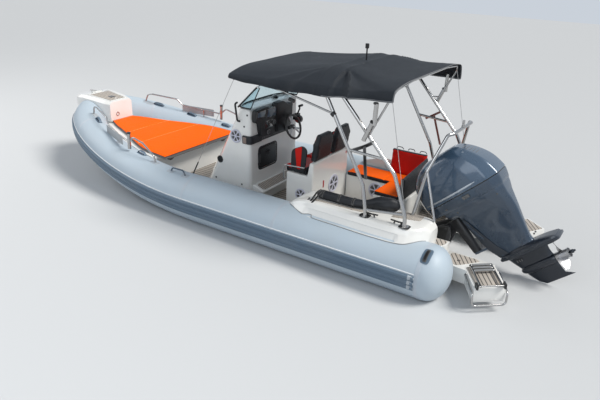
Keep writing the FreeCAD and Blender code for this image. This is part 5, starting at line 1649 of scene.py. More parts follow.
@dataclass
class Speakers:
    """Round speakers with six spokes over a mesh."""

    places: tuple[tuple[Point, Point, float], ...] = (
        ((-0.210, 0.550, 1.090), (0, 1, 0), 0.093), ((-1.200, 0.450, 0.460), (0, 1, 0), 0.088),
        ((-1.370, -0.080, 0.500), (-1, 0, 0), 0.126), ((-1.850, -0.420, 0.400), (0, 1, 0), 0.114),
        ((-0.210, -0.550, 1.090), (0, -1, 0), 0.093))
    rim: Outline = ((1.0, 0), (1.0, 0.006), (0.965, 0.011), (0.84, 0.0125), (0.78, 0.008), (0.775, 0))
    cap: Outline = ((0.23, 0.002), (0.23, 0.009), (0.17, 0.0122), (0.0, 0.0130))
    grille: Outline = ((0.79, 0.001), (0.79, 0.004), (0.4, 0.0046), (0.0, 0.0048))
    spokes: int = 6

    def build(self) -> None:
        """Builds every speaker."""
        rims, mesh = bmesh.new(), bmesh.new()
        for index, (centre, way, radius) in enumerate(self.places):
            for bm, profile in ((rims, self.rim), (rims, self.cap), (mesh, self.grille)):
                disc(bm, centre, way, [(r * radius, z) for r, z in profile], 40)
            spoke = bmesh.new()
            w = radius * 0.055
            rings = [[Vector((x * radius, -w * k, z)), Vector((x * radius, w * k, z)),
                      Vector((x * radius, w * k * 0.7, z + 0.005)),
                      Vector((x * radius, -w * k * 0.7, z + 0.005))]
                     for x, k, z in ((0.22, 1.1, 0.005), (0.5, 1.6, 0.0055), (0.80, 2.4, 0.0055))]
            skin(spoke, rings)
            repeated_round("speaker_spokes_%d" % index, spoke, self.spokes, facing(centre, way),
                           SPEAKER_WHITE)
        speaker = finished("speaker_rims", rims, [SPEAKER_WHITE], angle=50)
        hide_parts("speakers")
        finished("speaker_mesh", mesh, [SPEAKER_MESH], angle=50)
        LOG.info("speakers")


@dataclass
class Helm:
    """Steering wheel, throttle, foot step and what lies round them."""

    centre: Point = (-0.655, -0.150, 1.140)
    radius: float = 0.162
    grip: float = 0.0155
    rake_deg: float = 20.0

    def build(self) -> None:
        """Builds the pieces."""
        self.build_wheel()
        self.build_throttle()
        self.build_step()
        LOG.info("helm")

    def build_wheel(self) -> None:
        """Black grip, three double spokes of polished steel, and a hub cap."""
        rake = math.radians(self.rake_deg)
        ahead = Vector((math.cos(rake), 0, -math.sin(rake)))
        centre = Vector(self.centre)
        side = Vector((0, 1, 0))
        up = ahead.cross(side)

        def at(angle: float, r: float, deep: float = 0.0) -> Vector:
            """A point in the wheel's plane, or deeper."""
            return centre + (side * math.cos(angle) + up * math.sin(angle)) * r + ahead * deep

        bm = bmesh.new()
        rings = []
        for a in circle(72):
            swell = 1 + 0.06 * math.cos(6 * a)
            way = (side * math.cos(a) + up * math.sin(a))
            rings.append([at(a, self.radius) + (way * math.cos(b) + ahead * math.sin(b)) * self.grip * swell
                          for b in circle(14)])
        skin(bm, rings + [rings[0]], caps=False)
        hub = ((0.0, -0.006), (0.020, -0.005), (0.031, 0.0), (0.034, 0.008), (0.034, 0.048), (0.0, 0.048))
        disc(bm, centre - ahead * 0.010, ahead, hub, 32)
        wheel = finished("wheel_rim", bm, [WHEEL_GRIP], Body.WHEEL, angle=50)
        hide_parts("steering_wheel")
        bm = bmesh.new()
        for angle in (math.pi / 2 + math.radians(3), math.radians(213), math.radians(327)):
            for spread in (-0.13, 0.13):
                route = [at(angle + spread * 0.6, 0.028, 0.002), at(angle + spread, 0.075, 0.010),
                         at(angle + spread * 1.5, self.radius - 0.006, 0.004)]
                bar(bm, route, lambda s: 0.0125 + 0.002 * s, 10, flatten=0.4,
                    side_hint=up.cross(ahead) if abs(math.cos(angle)) < 0.2 else up, bend=0.05)
        disc(bm, centre - ahead * 0.016, ahead, ((0.0, -0.002), (0.012, 0.0), (0.014, 0.004), (0.014, 0.01)),
             20)
        finished("wheel_spokes", bm, [PROP_STEEL], Body.WHEEL, angle=50)

    def build_throttle(self) -> None:
        """Throttle box with its lever and drum, and a red switch."""
        rounded_node("throttle", BLACK_PLASTIC, 0.004, segments=2)
        bm = bmesh.new()
        disc(bm, (-0.585, -0.352, 1.185), (0, 1, 0),
             ((0.040, 0), (0.040, 0.008), (0.034, 0.012), (0.0, 0.012)))
        finished("kill_switch", bm, [RED_PLASTIC])
        bm = bmesh.new()
        drum = ((0.0, 0), (0.048, 0), (0.052, 0.006), (0.052, 0.060), (0.046, 0.068), (0.0, 0.068))
        disc(bm, (-0.585, -0.420, 1.185), (0, 1, 0), drum)
        finished("throttle_drum", bm, [BLACK_PLASTIC])

    def build_step(self) -> None:
        """White foot step with a planked tread."""
        rounded_node("foot_step", GELCOAT, 0.016, segments=4)
        bm = bmesh.new()
        plate(bm, rounded_box(-0.625, -0.47, -0.500, 0.47, 0.03),
              lambda x, y, d: (x, y, 0.440 + (x + 0.490) * (0.055 / 0.150) + d), -0.001, 0.0035, 0.001)
        finished("foot_step_tread", bm, [teak("Step teak", (0, 1, 0), 0.036, "gelcoat")], angle=30)


@dataclass
class LeaningPost:
    """Helm seat box with cushions, backs and side rails."""

    arm: Outline = ((-1.075, 0.762), (-1.250, 0.772), (-1.288, 1.090), (-1.220, 1.135), (-1.055, 1.060),
                    (-1.045, 0.850))
    arm_inset: Outline = ((-1.198, 0.820), (-1.145, 0.820), (-1.112, 1.078), (-1.215, 1.128))

    def build(self) -> None:
        """Builds the pieces."""
        rounded_node("seat_box", GELCOAT, 0.022, segments=4)
        self.build_backs()
        self.build_seats()
        self.build_box_details()
        LOG.info("leaning post")

    def build_backs(self) -> None:
        """Two seat backs, charcoal behind and red in front, with piping and stitches."""
        def channel(p: Vector) -> Vector:
            """Sewn channels on the front."""
            side = abs(p.y)
            groove = math.exp(-((side - 0.228) / 0.11) ** 8)
            if p.x > -1.335:
                p.x -= 0.004 * groove * math.exp(-((math.fmod(p.z - 0.9, 0.12) - 0.06) / 0.006) ** 2)
            return p

        puffed("helm_backs", "helm_back_cushions", [DARK_VINYL, RED_VINYL], voxel=0.010, shrink=0.004,
               swell=0.010, split=lambda c, nrm: 1 if nrm.x > 0.55 and 0.07 < abs(c.y) < 0.385
               and c.z < 1.25 else 0, shape=channel)
        stitch = bmesh.new()
        box_mesh((-0.004, -0.0008, -0.0008), (0.004, 0.0008, 0.0008), stitch)
        lines = []
        for s in (1, -1):
            lines.append([Vector((-1.4165 + 0.02 * math.sin(t * math.pi),
                                  s * (0.228 + 0.150 * math.cos(t * math.pi)),
                                  1.02 + 0.19 * math.sin(t * math.pi))) for t in frange(0, 1, 20)])
        repeated_along("helm_back_stitches", stitch, lines, 0.012, GREY_VINYL)

    def build_seats(self) -> None:
        """Two bolster seats: dark sides with red tops."""
        puffed("helm_cushions", "helm_seat_cushions", [DARK_VINYL, RED_VINYL], voxel=0.010, shrink=0.004,
               swell=0.012, split=lambda c, nrm: 1 if (nrm.z > 0.3 or abs(nrm.x) > 0.6) and -1.235 < c.x
               else 0)
        bm = bmesh.new()
        outline = rounded_outline(self.arm, 0.06)
        for s in (1, -1):
            skin(bm, slab(outline, s * 0.452, s * 0.478))
        arms = finished("seat_arms", bm, [DARK_VINYL], angle=40, bevel=0.009, segments=3)
        bm = bmesh.new()
        outline = rounded_outline(self.arm_inset, 0.02)
        for s in (1, -1):
            skin(bm, slab(outline, s * 0.450, s * 0.482))
        insets = finished("seat_arm_insets", bm, [RED_VINYL], angle=40, bevel=0.004)

    def build_box_details(self) -> None:
        """Grilles, drain, a hook and the base bead of the seat box."""
        bm = bmesh.new()
        disc(bm, (-1.366, -0.395, 0.86), (-1, 0, 0), ((0.020, 0), (0.020, 0.004), (0.0, 0.005)))
        plate(bm, rounded_box(0.165, 0.52, 0.192, 0.62, 0.008),
              lambda y, z, d: (-1.368 - d, y, z), -0.002, 0.006, 0.002)
        finished("seat_box_fittings", bm, [RED_PLASTIC], angle=40)
        bm = bmesh.new()
        box_mesh((-1.374, -0.454, 0.1605), (-0.956, 0.454, 0.170), bm)
        finished("seat_box_bead", bm, [SEALANT], bevel=0.003)


@dataclass
class Bench:
    """Starboard bench: box, cushions, backs and the rolled cover on the port side."""

    end_panel: Outline = ((-2.430, 0.535), (-2.372, 0.535), (-2.386, 0.820), (-2.416, 0.820))
    # x, y, z, radius
    cover: tuple[tuple[float, ...], ...] = (
        (-2.685, 0.702, 0.770, 0.020), (-2.660, 0.706, 0.778, 0.055), (-2.600, 0.728, 0.786, 0.076),
        (-2.500, 0.752, 0.786, 0.078), (-2.420, 0.776, 0.776, 0.068), (-2.330, 0.832, 0.761, 0.053),
        (-2.170, 0.870, 0.757, 0.050), (-1.950, 0.874, 0.757, 0.051), (-1.760, 0.876, 0.757, 0.051),
        (-1.728, 0.876, 0.757, 0.042), (-1.720, 0.876, 0.757, 0.020))
    cover_widest: float = 0.0795
    cover_floor: float = 0.7062
    strap_radius: float = 0.054
    strap_places: Outline = ((-1.80, 0.876), (-2.02, 0.873), (-2.20, 0.866))
    loop_xs: tuple[float, ...] = (-1.95, -2.12, -2.29)

    def build(self) -> None:
        """Builds the pieces."""
        rounded_node("bench_box", GELCOAT, 0.012, segments=3)
        puffed("bench_cushion", "bench_seat", [ORANGE_VINYL, DARK_VINYL], voxel=0.010, shrink=0.003,
               swell=0.012, split=lambda c, nrm: 0 if nrm.z > 0.45 else 1, shape=self.seat_seams)
        puffed("side_back", "side_back_cushion", [RED_VINYL, DARK_VINYL], voxel=0.009, shrink=0.003,
               swell=0.011, split=lambda c, nrm: 1 if c.z > 0.886 or nrm.y < -0.5 or nrm.x > 0.8
               else 0)
        puffed("stern_back", "stern_back_cushion", [DARK_VINYL], voxel=0.009, shrink=0.002, swell=0.009)
        self.build_panel()
        self.build_cover()
        self.build_hooks()
        LOG.info("bench")

    @staticmethod
    def seat_seams(p: Vector) -> Vector:
        """Pulls the seat's top down along its sewn seams."""
        if p.z > 0.565:
            for gap in (abs(p.x + 1.945), abs(p.y + 0.405) if p.x < -2.03 else 9.0):
                p.z -= 0.009 * math.exp(-(gap / 0.009) ** 2)
        return p

    def build_panel(self) -> None:
        """Grey inset with black edging on the stern back's port end."""
        bm = bmesh.new()
        skin(bm, slab(rounded_outline(self.end_panel, 0.012), 0.012, 0.024))
        panel = finished("stern_back_end", bm, [GREY_VINYL], bevel=0.003)

    def build_cover(self) -> None:
        """Rolled dark cover on the port moulding, slack and folded, with straps over its front end."""
        rings = []
        for x in frange(self.cover[0][0], self.cover[-1][0], 110):
            y, z, r = spline(self.cover, x)
            ring = []
            for a in circle(36):
                fold = 0.0045 * wrinkle(Vector((x * 0.4, a * 0.5, 0)), 3.0, 4) * (r / 0.05)
                fold += 0.0028 * math.sin(5 * a + x * 11 + 2 * math.sin(x * 5)) * (r / 0.05)
                reach = min(r + fold, self.cover_widest)
                p = Vector((x, y + reach * math.cos(a), z + reach * math.sin(a)))
                p.z = max(p.z, self.cover_floor)
                ring.append(p)
            rings.append(ring)
        bm = bmesh.new()
        skin(bm, rings)
        roll = finished("rolled_cover", bm, [DARK_VINYL], angle=60)
        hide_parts("cover_roll")
        bm = bmesh.new()
        hint = Vector((1, 0, 0))
        r = self.strap_radius
        for x, y in self.strap_places:
            loop = [Vector((x, y + r * math.cos(a), 0.7575 + r * math.sin(a)))
                    for a in frange(0, 2 * math.pi, 33)]
            bar(bm, loop, 0.015, 10, flatten=0.18, side_hint=hint)
        for x, low in ((-1.735, 0.640), (-1.775, 0.662)):
            route = [(x - 0.02, 0.870, 0.812), (x, 0.925, 0.795), (x + 0.015, 0.985, 0.738),
                     (x + 0.05, 1.045, low + 0.02), (x + 0.07, 1.062, low - 0.02),
                     (x + 0.10, 1.040, low + 0.005), (x + 0.06, 0.985, 0.726)]
            bar(bm, route, 0.013, 10, flatten=0.3, side_hint=hint, bend=0.06)
        finished("cover_straps", bm, [WEBBING], angle=60)

    def build_hooks(self) -> None:
        """Lashing loops behind the side back."""
        bm = bmesh.new()
        for x in self.loop_xs:
            loop = [(x - 0.05, -0.878, 0.900), (x - 0.035, -0.880, 0.925), (x + 0.035, -0.880, 0.925),
                    (x + 0.05, -0.878, 0.900)]
            bar(bm, loop, 0.0055, 10, bend=0.02)
        finished("side_back_loops", bm, [BLACK_PLASTIC], angle=60)


# Side mouldings, arch and canopy


@dataclass
class Coamings:
    """White mouldings over the tubes aft, with teak strips and the joint bead on the tube."""

    top: float = 0.705
    sole: float = 0.160
    half_spacing: float = 1.031
    tube_radius: float = 0.308
    table: tuple[tuple[float, ...], ...] = (
        (-3.130, 0.640, -0.400, -0.200), (-3.085, 0.690, -0.414, -0.120), (-3.020, 0.705, -0.428, -0.030),
        (-2.930, 0.705, -0.428, 0.020), (-2.600, 0.705, -0.421, 0.034), (-2.200, 0.705, -0.416, 0.030),
        (-1.700, 0.704, -0.411, 0.020), (-1.560, 0.680, -0.390, 0.004), (-1.450, 0.640, -0.355, -0.015),
        (-1.392, 0.600, -0.335, -0.030))

    def section(self, row: Sequence[float]) -> Ring:
        """The port moulding's rounded section."""
        x, top, inner, outer = row
        inner, outer = inner + self.half_spacing, outer + self.half_spacing
        inset = 0.012 * smoothstep((x + 2.86) / 0.03) * smoothstep((-1.66 - x) / 0.10)
        lean = Vector((0.115, 0.100)).normalized()
        corners = [(inner + 0.030, self.sole + 0.100), (inner, top - 0.060), (inner + 0.025, top),
                   (outer - 0.040, top), (outer - 0.006, top - 0.016), (outer + 0.020, top - 0.054)]
        for along, deep in ((0.014, 0.0), (0.018, 0.4 * inset), (0.100, 2.2 * inset), (0.112, 0.0)):
            corners.append((outer + 0.020 + 0.663 * along - deep * lean.x,
                            top - 0.054 - 0.749 * along - deep * lean.y))
        corners += [(outer + 0.112, top - 0.160), (outer + 0.03, top - 0.27), (0.800, self.sole + 0.060)]
        return [Vector((x, y, z)) for y, z in rounded_outline(corners, 0.006, 3)]

    def build(self) -> None:
        """Builds the mouldings and what is on them."""
        stations = [-3.130, -3.124, -3.110] + frange(-3.085, -1.45, 90) + [-1.420, -1.392]
        rings = [self.section([x] + spline(self.table, x)) for x in stations]
        bm = bmesh.new()
        skin(bm, rings)
        port = finished("coaming_port_shell", bm, [GELCOAT], angle=30)
        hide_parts("coaming_port")
        rounded_node("coaming_starboard", GELCOAT, 0.010, segments=3)
        self.build_bead(rings)
        self.build_teak()
        LOG.info("coamings")

    def build_bead(self, rings: Sequence[Ring]) -> None:
        """Dark bead where the moulding meets the tube."""
        route = []
        for ring in rings[2:-1]:
            for a, b in zip(ring[::-1], ring[-2::-1]):
                gap = [math.hypot(p.y - self.half_spacing, p.z - 0.28) - self.tube_radius for p in (a, b)]
                if min(a.y, b.y) > 0.9 and gap[0] <= 0.002 < gap[1]:
                    t = (0.002 - gap[0]) / (gap[1] - gap[0])
                    route.append(a.lerp(b, t))
                    break
        bm = bmesh.new()
        bar(bm, route, 0.0055, 8)
        finished("coaming_bead", bm, [SEALANT], angle=60)

    def on_top(self, x: float, y: float, depth: float) -> Point:
        """A point over the mouldings' flat top."""
        return (x, y, self.top + depth)

    def build_teak(self) -> None:
        """Teak strips on top, dark pads, lashing eyes and cleats."""
        bm = bmesh.new()
        strips = ([(-2.36, 0.895), (-1.74, 0.935), (-1.70, 0.985), (-2.34, 0.948)],
                  [(-2.96, 0.625), (-2.74, 0.640), (-2.66, 0.700), (-2.66, 0.860), (-2.97, 0.770)])
        for outline in strips:
            plate(bm, rounded_outline(outline, 0.02), self.on_top, -0.002, 0.004, 0.001)
        finished("coaming_teak", bm, [teak("Coaming teak", (0.07, 1.0, 0), 0.0195, "gelcoat")], angle=30)
        bm = bmesh.new()
        for s in (1, -1):
            for x in (-2.410, -2.885):
                plate(bm, rounded_box(x - 0.062, s * 0.945, x + 0.062, s * 1.05, 0.04), self.on_top, -0.002,
                      0.003, 0.001)
        for x, y in ((-2.47, 0.975), (-2.80, 0.985)):
            feet = [(x - 0.045, y, self.top), (x - 0.035, y, self.top + 0.03),
                    (x + 0.035, y, self.top + 0.03), (x + 0.045, y, self.top)]
            bar(bm, feet, 0.008, 10, bend=0.02)
            horns = [(x - 0.085, y, self.top + 0.034), (x, y, self.top + 0.028),
                     (x + 0.085, y, self.top + 0.034)]
            bar(bm, horns, 0.009, 10)
        finished("coaming_pads", bm, [BLACK_PLASTIC], angle=45)


@dataclass
class Canopy:
    """Cloth canopy: one curved sheet with folds that fan out from the hoops, and hem tape."""

    # x, hem, edge, half width less 1, shoulder, shoulder half width, crown
    table: tuple[tuple[float, ...], ...] = (
        (-2.620, 2.010, 2.122, -0.015, 2.163, 0.600, 2.168),
        (-2.260, 1.995, 2.100, -0.015, 2.166, 0.580, 2.176),
        (-1.920, 1.962, 2.076, -0.020, 2.194, 0.560, 2.200),
        (-1.780, 1.950, 2.072, -0.022, 2.197, 0.560, 2.203),
        (-1.640, 1.946, 2.070, -0.022, 2.193, 0.560, 2.200),
        (-1.050, 1.950, 2.046, -0.015, 2.136, 0.580, 2.148),
        (-0.480, 1.967, 2.028, -0.015, 2.080, 0.600, 2.088))
    hub_x: tuple[float, float] = (-1.690, -1.870)
    hub_y: float = 0.600
    # low end, high end, radius, sides
    collars: tuple[tuple[Point, Point, float, int], ...] = (
        ((-1.40, 0.954, 1.822), (-1.33, 0.954, 1.838), 0.022, 16),
        ((-1.93, 0.957, 1.752), (-1.90, 0.957, 1.775), 0.030, 16),
        ((-2.440, 1.010, 1.968), (-2.4405, 1.010, 1.984), 0.0268, 20),
        ((-2.4155, 1.012, 1.768), (-2.422, 1.012, 1.784), 0.0268, 20),
        ((1.3755, 0.999, 0.925), (1.3750, 0.999, 0.9465), 0.0268, 20))
    # top and foot of the stay, the shares of it that are covered, radius
    stays: tuple[tuple[Point, Point, float, float, float], ...] = (
        ((-0.540, 0.947, 1.988), (0.300, 0.862, 0.520), 0.0, 0.03, 0.009),
        ((-0.540, 0.947, 1.988), (0.300, 0.862, 0.520), 0.86, 0.99, 0.009),
        ((-2.585, 0.945, 2.035), (-2.890, 0.975, 0.730), 0.90, 0.985, 0.010))

    def across(self, x: float) -> list[tuple[float, float]]:
        """Half of the section at x, from the crown out to the hem."""
        hem, edge, spread, shoulder, narrow, crown = spline(self.table, x)
        wide = 1.0 + spread
        return [(0.0, crown), (narrow * 0.55, lerp(crown, shoulder, 0.4)), (narrow, shoulder),
                (lerp(narrow, wide, 0.52), lerp(shoulder, edge, 0.40)), (wide - 0.035, edge - 0.004),
                (wide - 0.004, lerp(edge, hem, 0.30)), (wide + 0.013, lerp(edge, hem, 0.66)),
                (wide + 0.015, hem)]

    def section_point(self, x: float, share: float) -> Vector:
        """A smooth point of the port half: 0 at the crown, 1 at the hem."""
        rows = self.across(x)
        keys = (0.0, 0.28, 0.52, 0.70, 0.84, 0.90, 0.95, 1.0)
        y, z = spline([(k, *row) for k, row in zip(keys, rows)], share)
        return Vector((x, y, z))

    def fold(self, x: float, share: float, side: Side) -> float:
        """How far the cloth is pulled in or out by its folds."""
        p = self.section_point(x, share)
        seed = 3.0 if side is Side.PORT else 11.0
        total = 0.0
        for hub, way in ((self.hub_x[0], 1), (self.hub_x[1], -1)):
            along, out = (p.x - hub) * way, p.y - self.hub_y
            if along <= 0 or out < -0.15:
                continue
            reach = math.hypot(along, max(out, 0.0))
            angle = math.atan2(along, max(out, 0.02))
            count = 2.6 if way > 0 else 4.6
            swing = abs(math.sin(angle * count + 0.4 + 0.3 * wrinkle(p, 3, seed)))
            ridge = 1 - swing ** 0.7
            fade = smoothstep(reach / 0.14) * smoothstep((1.25 - angle) / 0.4)
            fade *= 1 - smoothstep((reach - 0.6) / 0.6)
            depth = 0.030 if way > 0 or side is Side.STARBOARD else 0.080
            total += max((ridge - 0.30) * fade * depth, -0.016)
        if side is Side.PORT:
            crease = (x - lerp(-1.690, -1.420, smoothstep((share - 0.5) / 0.5))) / 0.075
            total += 0.028 * math.exp(-abs(crease) ** 1.4) * smoothstep((share - 0.45) / 0.3)
        side_sag = smoothstep((share - 0.45) / 0.3)
        broad = 0.005 * wrinkle(Vector((p.x * 0.7, share, 0)), 2.2, seed)
        fine = 0.0022 * wrinkle(Vector((p.x * 1.3, p.y, 0)), 9.0, seed) * side_sag
        return total + broad * smoothstep(share / 0.3) + fine

    def hoop_lift(self, x: float, share: float) -> float:
        """Sharp lift over each hoop and the sag between them."""
        lift = sum(0.010 * math.exp(-((x - hub) / 0.035) ** 2) for hub in self.hub_x)
        sag = 0.0
        for low, high in ((-2.60, -1.87), (-1.69, -0.50)):
            if low < x < high:
                sag = -0.014 * math.sin(math.pi * (x - low) / (high - low)) ** 2 * (1 - 0.5 * share)
        return lift * (1 - smoothstep((share - 0.55) / 0.3)) + sag

    def surface(self, x: float, share: float, side: Side) -> Vector:
        """A point of the finished cloth."""
        p = self.section_point(x, share)
        ahead = self.section_point(x + 0.01, share) - self.section_point(x - 0.01, share)
        over = self.section_point(x, min(1.0, share + 0.01)) - self.section_point(x, max(0.0, share - 0.01))
        normal = over.cross(ahead).normalized()
        if normal.z < 0:
            normal = -normal
        p = p + normal * self.fold(x, share, side) + Vector((0, 0, self.hoop_lift(x, share)))
        p.y += 0.007 * math.sin(x * 17 + side.value) * smoothstep((share - 0.86) / 0.14)
        if share > 0.985:
            p.z += 0.004 * math.sin(x * 11)
        if side is Side.STARBOARD:
            drop = 0.075 * smoothstep((share - 0.80) / 0.20) * smoothstep((-1.60 - x) / 0.6)
            p.z = max(p.z - drop, min(p.z, 1.934))
        p.z = min(p.z, 2.212)
        return Vector((p.x, p.y * side.value, p.z))

    def build(self) -> None:
        """Builds the sheet, its hem tape and the fittings."""
        xs = frange(-2.622, -0.480, 150)
        shares = frange(0.0, 0.8, 34) + frange(0.8, 1.0, 18)[1:]
        bm = bmesh.new()
        rings = []
        for x in xs:
            port = [self.surface(x, v, Side.PORT) for v in shares[::-1]]
            starboard = [self.surface(x, v, Side.STARBOARD) for v in shares[1:]]
            rings.append(port + starboard)
        skin(bm, rings, closed=False, caps=False)
        sheet = finished("canopy_cloth", bm, [CANOPY_CLOTH], angle=60, solid=0.0022)
        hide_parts("canopy")
        hem = self.build_hem(rings)
        self.build_fittings()

    def build_hem(self, rings: Sequence[Ring]) -> Object:
        """Binding tape round the edge: grey aft, dark ahead."""
        bm = bmesh.new()
        hem = len(rings) * 2 // 5
        sides = [[ring[end] for ring in rings] for end in (0, -1)]
        for material, edges, hint in ((0, [side[:hem] for side in sides], Vector((0, 0.25, 1))),
                                      (1, [side[hem - 1:] for side in sides], Vector((0, 0.25, 1))),
                                      (0, [rings[0]], Vector((1, 0, 0.05))),
                                      (1, [rings[-1]], Vector((1, 0, 0.05)))):
            for edge in edges:
                bar(bm, edge, 0.0085, 8, flatten=0.32, side_hint=hint, material=material)
        return finished("canopy_hem", bm, [CANOPY_HEM, CANOPY_CLOTH], angle=60)

    def build_fittings(self) -> None:
        """Black collars on the poles and stays, and straps between the legs."""
        bm = bmesh.new()
        bar(bm, [(-1.7800, 0, 2.345), (-1.7800, 0, 2.392)], 0.0235, 20)
        for s in (1, -1):
            for low, high, radius, sides in self.collars:
                bar(bm, [(x, s * y, z) for x, y, z in (low, high)], radius, sides)
            for top, foot, start, end, radius in self.stays:
                a, b = (Vector((x, s * y, z)) for x, y, z in (top, foot))
                bar(bm, [a.lerp(b, start), a.lerp(b, end)], radius, 12)
        finished("arch_collars", bm, [BLACK_PLASTIC], angle=45)
        hint = Vector((0.3, 0.2, 1))
        for name, y, width, finish, routes in (
                ("port", 0.955, 0.020, WEBBING,
                 (((-2.115, 1.372), (-2.325, 1.478), (-2.430, 1.548)),
                  ((-2.318, 1.478), (-2.338, 1.300), (-2.362, 1.110)))),
                ("starboard", -0.955, 0.015, RED_STRAP,
                 (((-2.235, 1.362), (-2.330, 1.420), (-2.425, 1.482)),
                  ((-2.345, 1.430), (-2.410, 1.240), (-2.478, 1.045))))):
            bm = bmesh.new()
            for rows, way in zip(routes, (hint, Vector((1, 0, 0)))):
                bar(bm, [(x, y, z) for x, z in rows], width, 10, flatten=0.16, side_hint=way, bend=0.05)
            finished("arch_straps_" + name, bm, [finish], angle=60)


# Stern


@dataclass
class Platforms:
    """Planked stern platforms with their drains, and the ladder's treads and caps."""

    top: float = 0.280
    step_top: float = 0.440
    main_teak: Outline = ((-3.515, 0.690), (-3.735, 1.020), (-3.965, 0.835), (-3.752, 0.490))
    walk_teak: Outline = ((-3.275, 0.455), (-3.275, 0.700), (-3.420, 0.705), (-3.500, 0.610),
                          (-3.600, 0.480), (-3.545, 0.450))
    step_teak: Outline = ((-2.975, 0.535), (-2.975, 0.585), (-3.115, 0.585), (-3.150, 0.700),
                          (-3.185, 0.695), (-3.230, 0.630), (-3.230, 0.535))
    drain: Outline = ((0.018, 0), (0.018, 0.004), (0.010, 0.004), (0.009, 0.001), (0.0, 0.001))

    def build(self) -> None:
        """Builds both sides."""
        for node in ("platform_port", "platform_starboard"):
            rounded_node(node, GELCOAT, 0.009, segments=3)
        self.build_planks()
        self.build_ladder()
        self.build_drains()
        LOG.info("platforms")

    def build_planks(self) -> None:
        """Teak on the platform, the walkway and the step."""
        bm = bmesh.new()
        for s in (1, -1):
            for outline, level in ((self.main_teak, self.top), (self.walk_teak, self.top),
                                   (self.step_teak, self.step_top)):
                plate(bm, rounded_outline([(x, s * y) for x, y in outline], 0.02),
                      lambda x, y, d, z=level: (x, y, z + d), -0.001, 0.0045, 0.001)
        finished("platform_teak", bm, [teak("Platform teak", (0.84, 0.54, 0), 0.046, "gelcoat")], angle=30)

    def build_ladder(self) -> None:
        """Flat treads on the folded ladder's rungs and caps on its rails."""
        corners = ((-3.490, 0.680), (-3.730, 1.060), (-3.990, 0.840), (-3.750, 0.450))
        inner_a, outer_a, outer_b, inner_b = (Vector((x, y, 0)) for x, y in corners)

        def along(out: float, across: float, z: float) -> Vector:
            """A point over the platform."""
            p = (inner_a + (outer_a - inner_a) * out).lerp(inner_b + (outer_b - inner_b) * out, across)
            return Vector((p.x, p.y, z))

        treads, caps = bmesh.new(), bmesh.new()
        z = self.top + 0.034
        for share in (0.12, 0.25, 0.38):
            corner = [along(share + d, a, z)
                      for d, a in ((-0.035, 0.2), (0.035, 0.2), (0.035, 0.8), (-0.035, 0.8))]
            rings = [[Vector((p.x, p.y, p.z + h)) for p in corner] for h in (0.004, 0.0155)]
            skin(treads, rings)
        finished("ladder_treads", treads, [TREAD_GREY], Body.LADDER, bevel=0.003)
        for share in (0.105, 1.045):
            for across in (0.16, 0.84):
                bar(caps, [along(share - 0.008, across, z), along(share + 0.018, across, z)], 0.0142, 14)
        finished("ladder_caps", caps, [BLACK_PLASTIC], Body.LADDER, angle=45)

    def build_drains(self) -> None:
        """Round drains on both walkways."""
        bm = bmesh.new()
        for s in (1, -1):
            for x, y in ((-3.28, 0.58), (-3.40, 0.60)):
                disc(bm, (x, s * y, self.top + 0.002), (0, 0, 1), self.drain, 20)
        finished("platform_drains", bm, [STAINLESS], angle=45)


# Outboard motor


